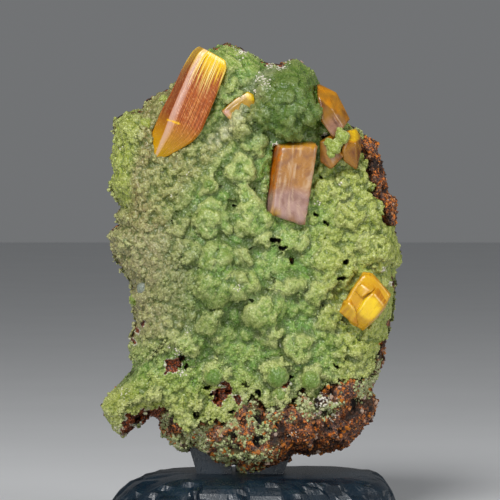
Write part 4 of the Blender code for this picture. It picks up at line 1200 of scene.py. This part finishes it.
# %% Wulfenite blocks: the finish
TINTS = {
    "wulfenite_centre": ("#b07c40", "#7c5040", "#dcc0a0", "#c08a40", "#c88c10", "#c86a00", "#b0842c", "#b08c80"),
    "wulfenite_upper_small": ("#8c6400", "#5c4402", "#c09a1c", "#d8a800", "#a88004", "#946c10", "#f8d414", "#c8988c"),
    "wulfenite_upper_right": ("#744000", "#482200", "#a06406", "#b4801c", "#c88000", "#8c5c30", "#f8d000", "#a27660"),
    "wulfenite_lower_right": ("#cc8e00", "#a06000", "#f0bc00", "#e8bc28", "#c47c00", "#b87c00", "#ffd800", "#c89800"),
}
for node, (middle, dark, light, rim, upper, leftward, spot_bright, spot_pale) in TINTS.items():
    glass, tree, shader, place = new_material(node.replace("_", ", ", 1).replace("_", " ") + " tint")
    up, left, edge, lines, bright, pale = [
        add(tree, "Attribute", attribute_name=n, out="Fac") for n in ("up", "left", "edge", "lines", "bright", "pale")
    ]
    clouds = add(tree, "TexNoise", {"Vector": place, "Scale": 0.5, "Detail": 3.0})
    paint(tree, shader, middle, [
        (up, 0.25, 0.4, 1.0, upper),
        # Left faces get their own colour. On the middle block it is a bright orange: a painted glow on a face that
        # lies in shade.
        (left, 0.3, 0.45, 1.0, leftward),
        # The pale spot: a painted sheen, mauve on the middle block.
        (pale, 0.0, 1.0, 1.0, spot_pale),
        (bright, 0.0, 1.0, 1.0, spot_bright),
        (clouds, 0.45, 0.65, 0.6, dark),
        (lines, 0.9, 1.3, 0.5, light),
        (lines, 0.65, 0.35, 0.5, dark),
        (edge, 0.0, 1.0, 0.5, rim),
    ])  # fmt: skip
    tree.links.new(add(tree, "MapRange", {0: clouds, 1: 0.3, 2: 0.7, 3: 0.2, 4: 0.36}), shader.inputs["Roughness"])
    set_sockets(shader, WULFENITE)
    finish_piece(block_piece(*blocks[node]), glass, "wulfenite", node)

# %% [markdown]
# ## Stand
#
# The stand is dark slate-blue acrylic with knapped edges, like struck stone. The slab is carried round
# as rings of a rounded rectangle, and crags chip its slopes. Its posts fit the stone, so the CAD
# solids stay and only get the finish.

# %% Stand
SLAB_PROFILE = [
    (0.0, 6.0, 0.0), (0.0, 1.3, 0.0), (0.3, 0.7, 0.3), (0.9, 0.2, 0.8), (1.5, 0.0, 1.0), (2.3, 0.15, 1.0),
    (3.1, 0.4, 1.0), (3.9, 0.7, 1.0), (4.6, 1.0, 1.0), (5.4, 1.5, 1.0), (6.2, 2.0, 1.0), (6.9, 2.6, 1.0),
    (7.5, 3.4, 0.9), (7.9, 4.6, 0.6), (8.15, 6.2, 0.25), (8.28, 8.5, 0.0), (8.3, 11.0, 0.0), (8.3, 15.0, 0.0),
]  # fmt: skip


def slab_outline(angle):
    """The stand's footprint: a rounded rectangle, by the fourth power of sine and cosine."""
    half_x = np.where(np.cos(angle) > 0, 26.0, 25.6)
    return (np.abs(np.cos(angle) / half_x) ** 4 + np.abs(np.sin(angle) / 18.5) ** 4) ** -0.25


def slab_piece(columns=300):
    """Rings of (height, inset, share of chipping) from the underside up, then chipped by crags."""
    angle = np.linspace(0.0, 2 * np.pi, columns, endpoint=False)
    height, inset, chips = np.array(SLAB_PROFILE).T[..., None]
    reach = slab_outline(angle) - inset * (1.0 + 0.9 * smooth(-2.0 * np.cos(angle) - 0.9))
    table = np.stack([reach * np.cos(angle), reach * np.sin(angle), 0 * reach + height], axis=-1)
    chip = 1.3 * crags(table, 5.0, 501) + 0.8 * crags(table, 2.2, 511)
    inward = table * (1.0, 1.0, 0.0)
    inward = inward / np.linalg.norm(inward, axis=-1, keepdims=True)
    table = table - (chips * np.clip(1.0 - chip, 0.0, 2.2) * 0.6)[..., None] * inward
    table[..., 2] -= chips * np.clip(0.8 - chip, 0.0, 1.6) * 0.35 * (table[..., 2] > 2.0)
    points, faces = closed_tube(table)
    return make_piece("stand_slab", points, faces, soft=False)


slab = slab_piece()
acrylic, tree, shader, place = new_material("acrylic, dark slate with knapped edges")
clouds = add(tree, "TexNoise", {"Vector": place, "Scale": 0.25, "Detail": 4.0})
scuffs = add(tree, "TexNoise", {"Vector": place, "Scale": 3.0, "Detail": 2.0})
paint(tree, shader, "#041420", [(clouds, 0.35, 0.65, 1.0, "#0c2230")])
tree.links.new(add(tree, "MapRange", {0: scuffs, 1: 0.35, 2: 0.7, 3: 0.25, 4: 0.5}), shader.inputs["Roughness"])
tree.links.new(add(tree, "Bump", {"Height": scuffs, "Distance": 0.03 * MM}), shader.inputs["Normal"])
set_sockets(shader, {"IOR": 1.49})
finish_piece(slab, acrylic, "stand_acrylic", "stand_base")

smoky, tree, shader, place = new_material("acrylic, clear with a smoky tint")
clouds = add(tree, "TexNoise", {"Vector": place, "Scale": 0.3})
paint(tree, shader, "#a2abb2", [(clouds, 0.0, 1.0, 1.0, "#b8c0c6")])
tree.links.new(add(tree, "MapRange", {0: clouds, 3: 0.02, 4: 0.1}), shader.inputs["Roughness"])
set_sockets(shader, {"IOR": 1.49, "Transmission Weight": 1.0})

for node in ("stand_post_left", "stand_post_right", "stand_pane_middle"):
    solid = bpy.data.objects[node]
    finish = smoky if node == "stand_pane_middle" else acrylic
    if not solid.material_slots:
        solid.data.materials.append(finish)
    for slot in solid.material_slots:
        slot.material = finish
    print(node, "finished with", finish.name)

# %% [markdown]
# ## Light and floor
#
# Soft studio light: a broad box above and a little to the left models the lobes, a tall box left of
# the camera gives the long highlight on the barrel, a third box at the right keeps that side from
# going dull, and the pale surround fills the rest.

# %% Light and floor
STONE_MIDDLE = Vector((0, 0, 45)) * MM
FLOOR_REACH = 1500.0


def soft_box(name, place_mm, size_mm, power):
    """A rectangular area light that looks at the stone's middle."""
    data = bpy.data.lights.new(name, "AREA")
    data.shape = "RECTANGLE"
    data.size, data.size_y = size_mm[0] * MM, size_mm[1] * MM
    data.energy = power
    lamp = bpy.data.objects.new(name, data)
    lamp.location = Vector(place_mm) * MM
    lamp.rotation_euler = (STONE_MIDDLE - lamp.location).to_track_quat("-Z", "Y").to_euler()
    bpy.context.scene.collection.objects.link(lamp)


soft_box("key", (-130, -370, 400), (200, 200), 2.15)
soft_box("streak", (-150, -560, 95), (90, 260), 0.7)
soft_box("side", (430, -220, 200), (160, 260), 0.8)
world = bpy.data.worlds.new("studio")
bpy.context.scene.world = world
world.use_nodes = True
world.node_tree.nodes["Background"].inputs["Color"].default_value = shade("#e6e9ec")
world.node_tree.nodes["Background"].inputs["Strength"].default_value = 0.21

spread = np.linspace(-FLOOR_REACH, FLOOR_REACH, 3)
floor_x, floor_y = np.meshgrid(spread, spread, indexing="ij")
floor_points = np.stack([floor_x, floor_y, 0 * floor_x], axis=-1).reshape(-1, 3)
floor = make_piece("floor", floor_points, [quads(np.arange(9).reshape(3, 3))])
floor_paint, tree, shader, place = new_material("floor, pale matt board")
clouds = add(tree, "TexNoise", {"Vector": place, "Scale": 0.03})
paint(tree, shader, "#d9dadb", [(clouds, 0.0, 1.0, 1.0, "#dfe0e1")])
set_sockets(shader, {"Roughness": 0.8})
floor.data.materials.append(floor_paint)
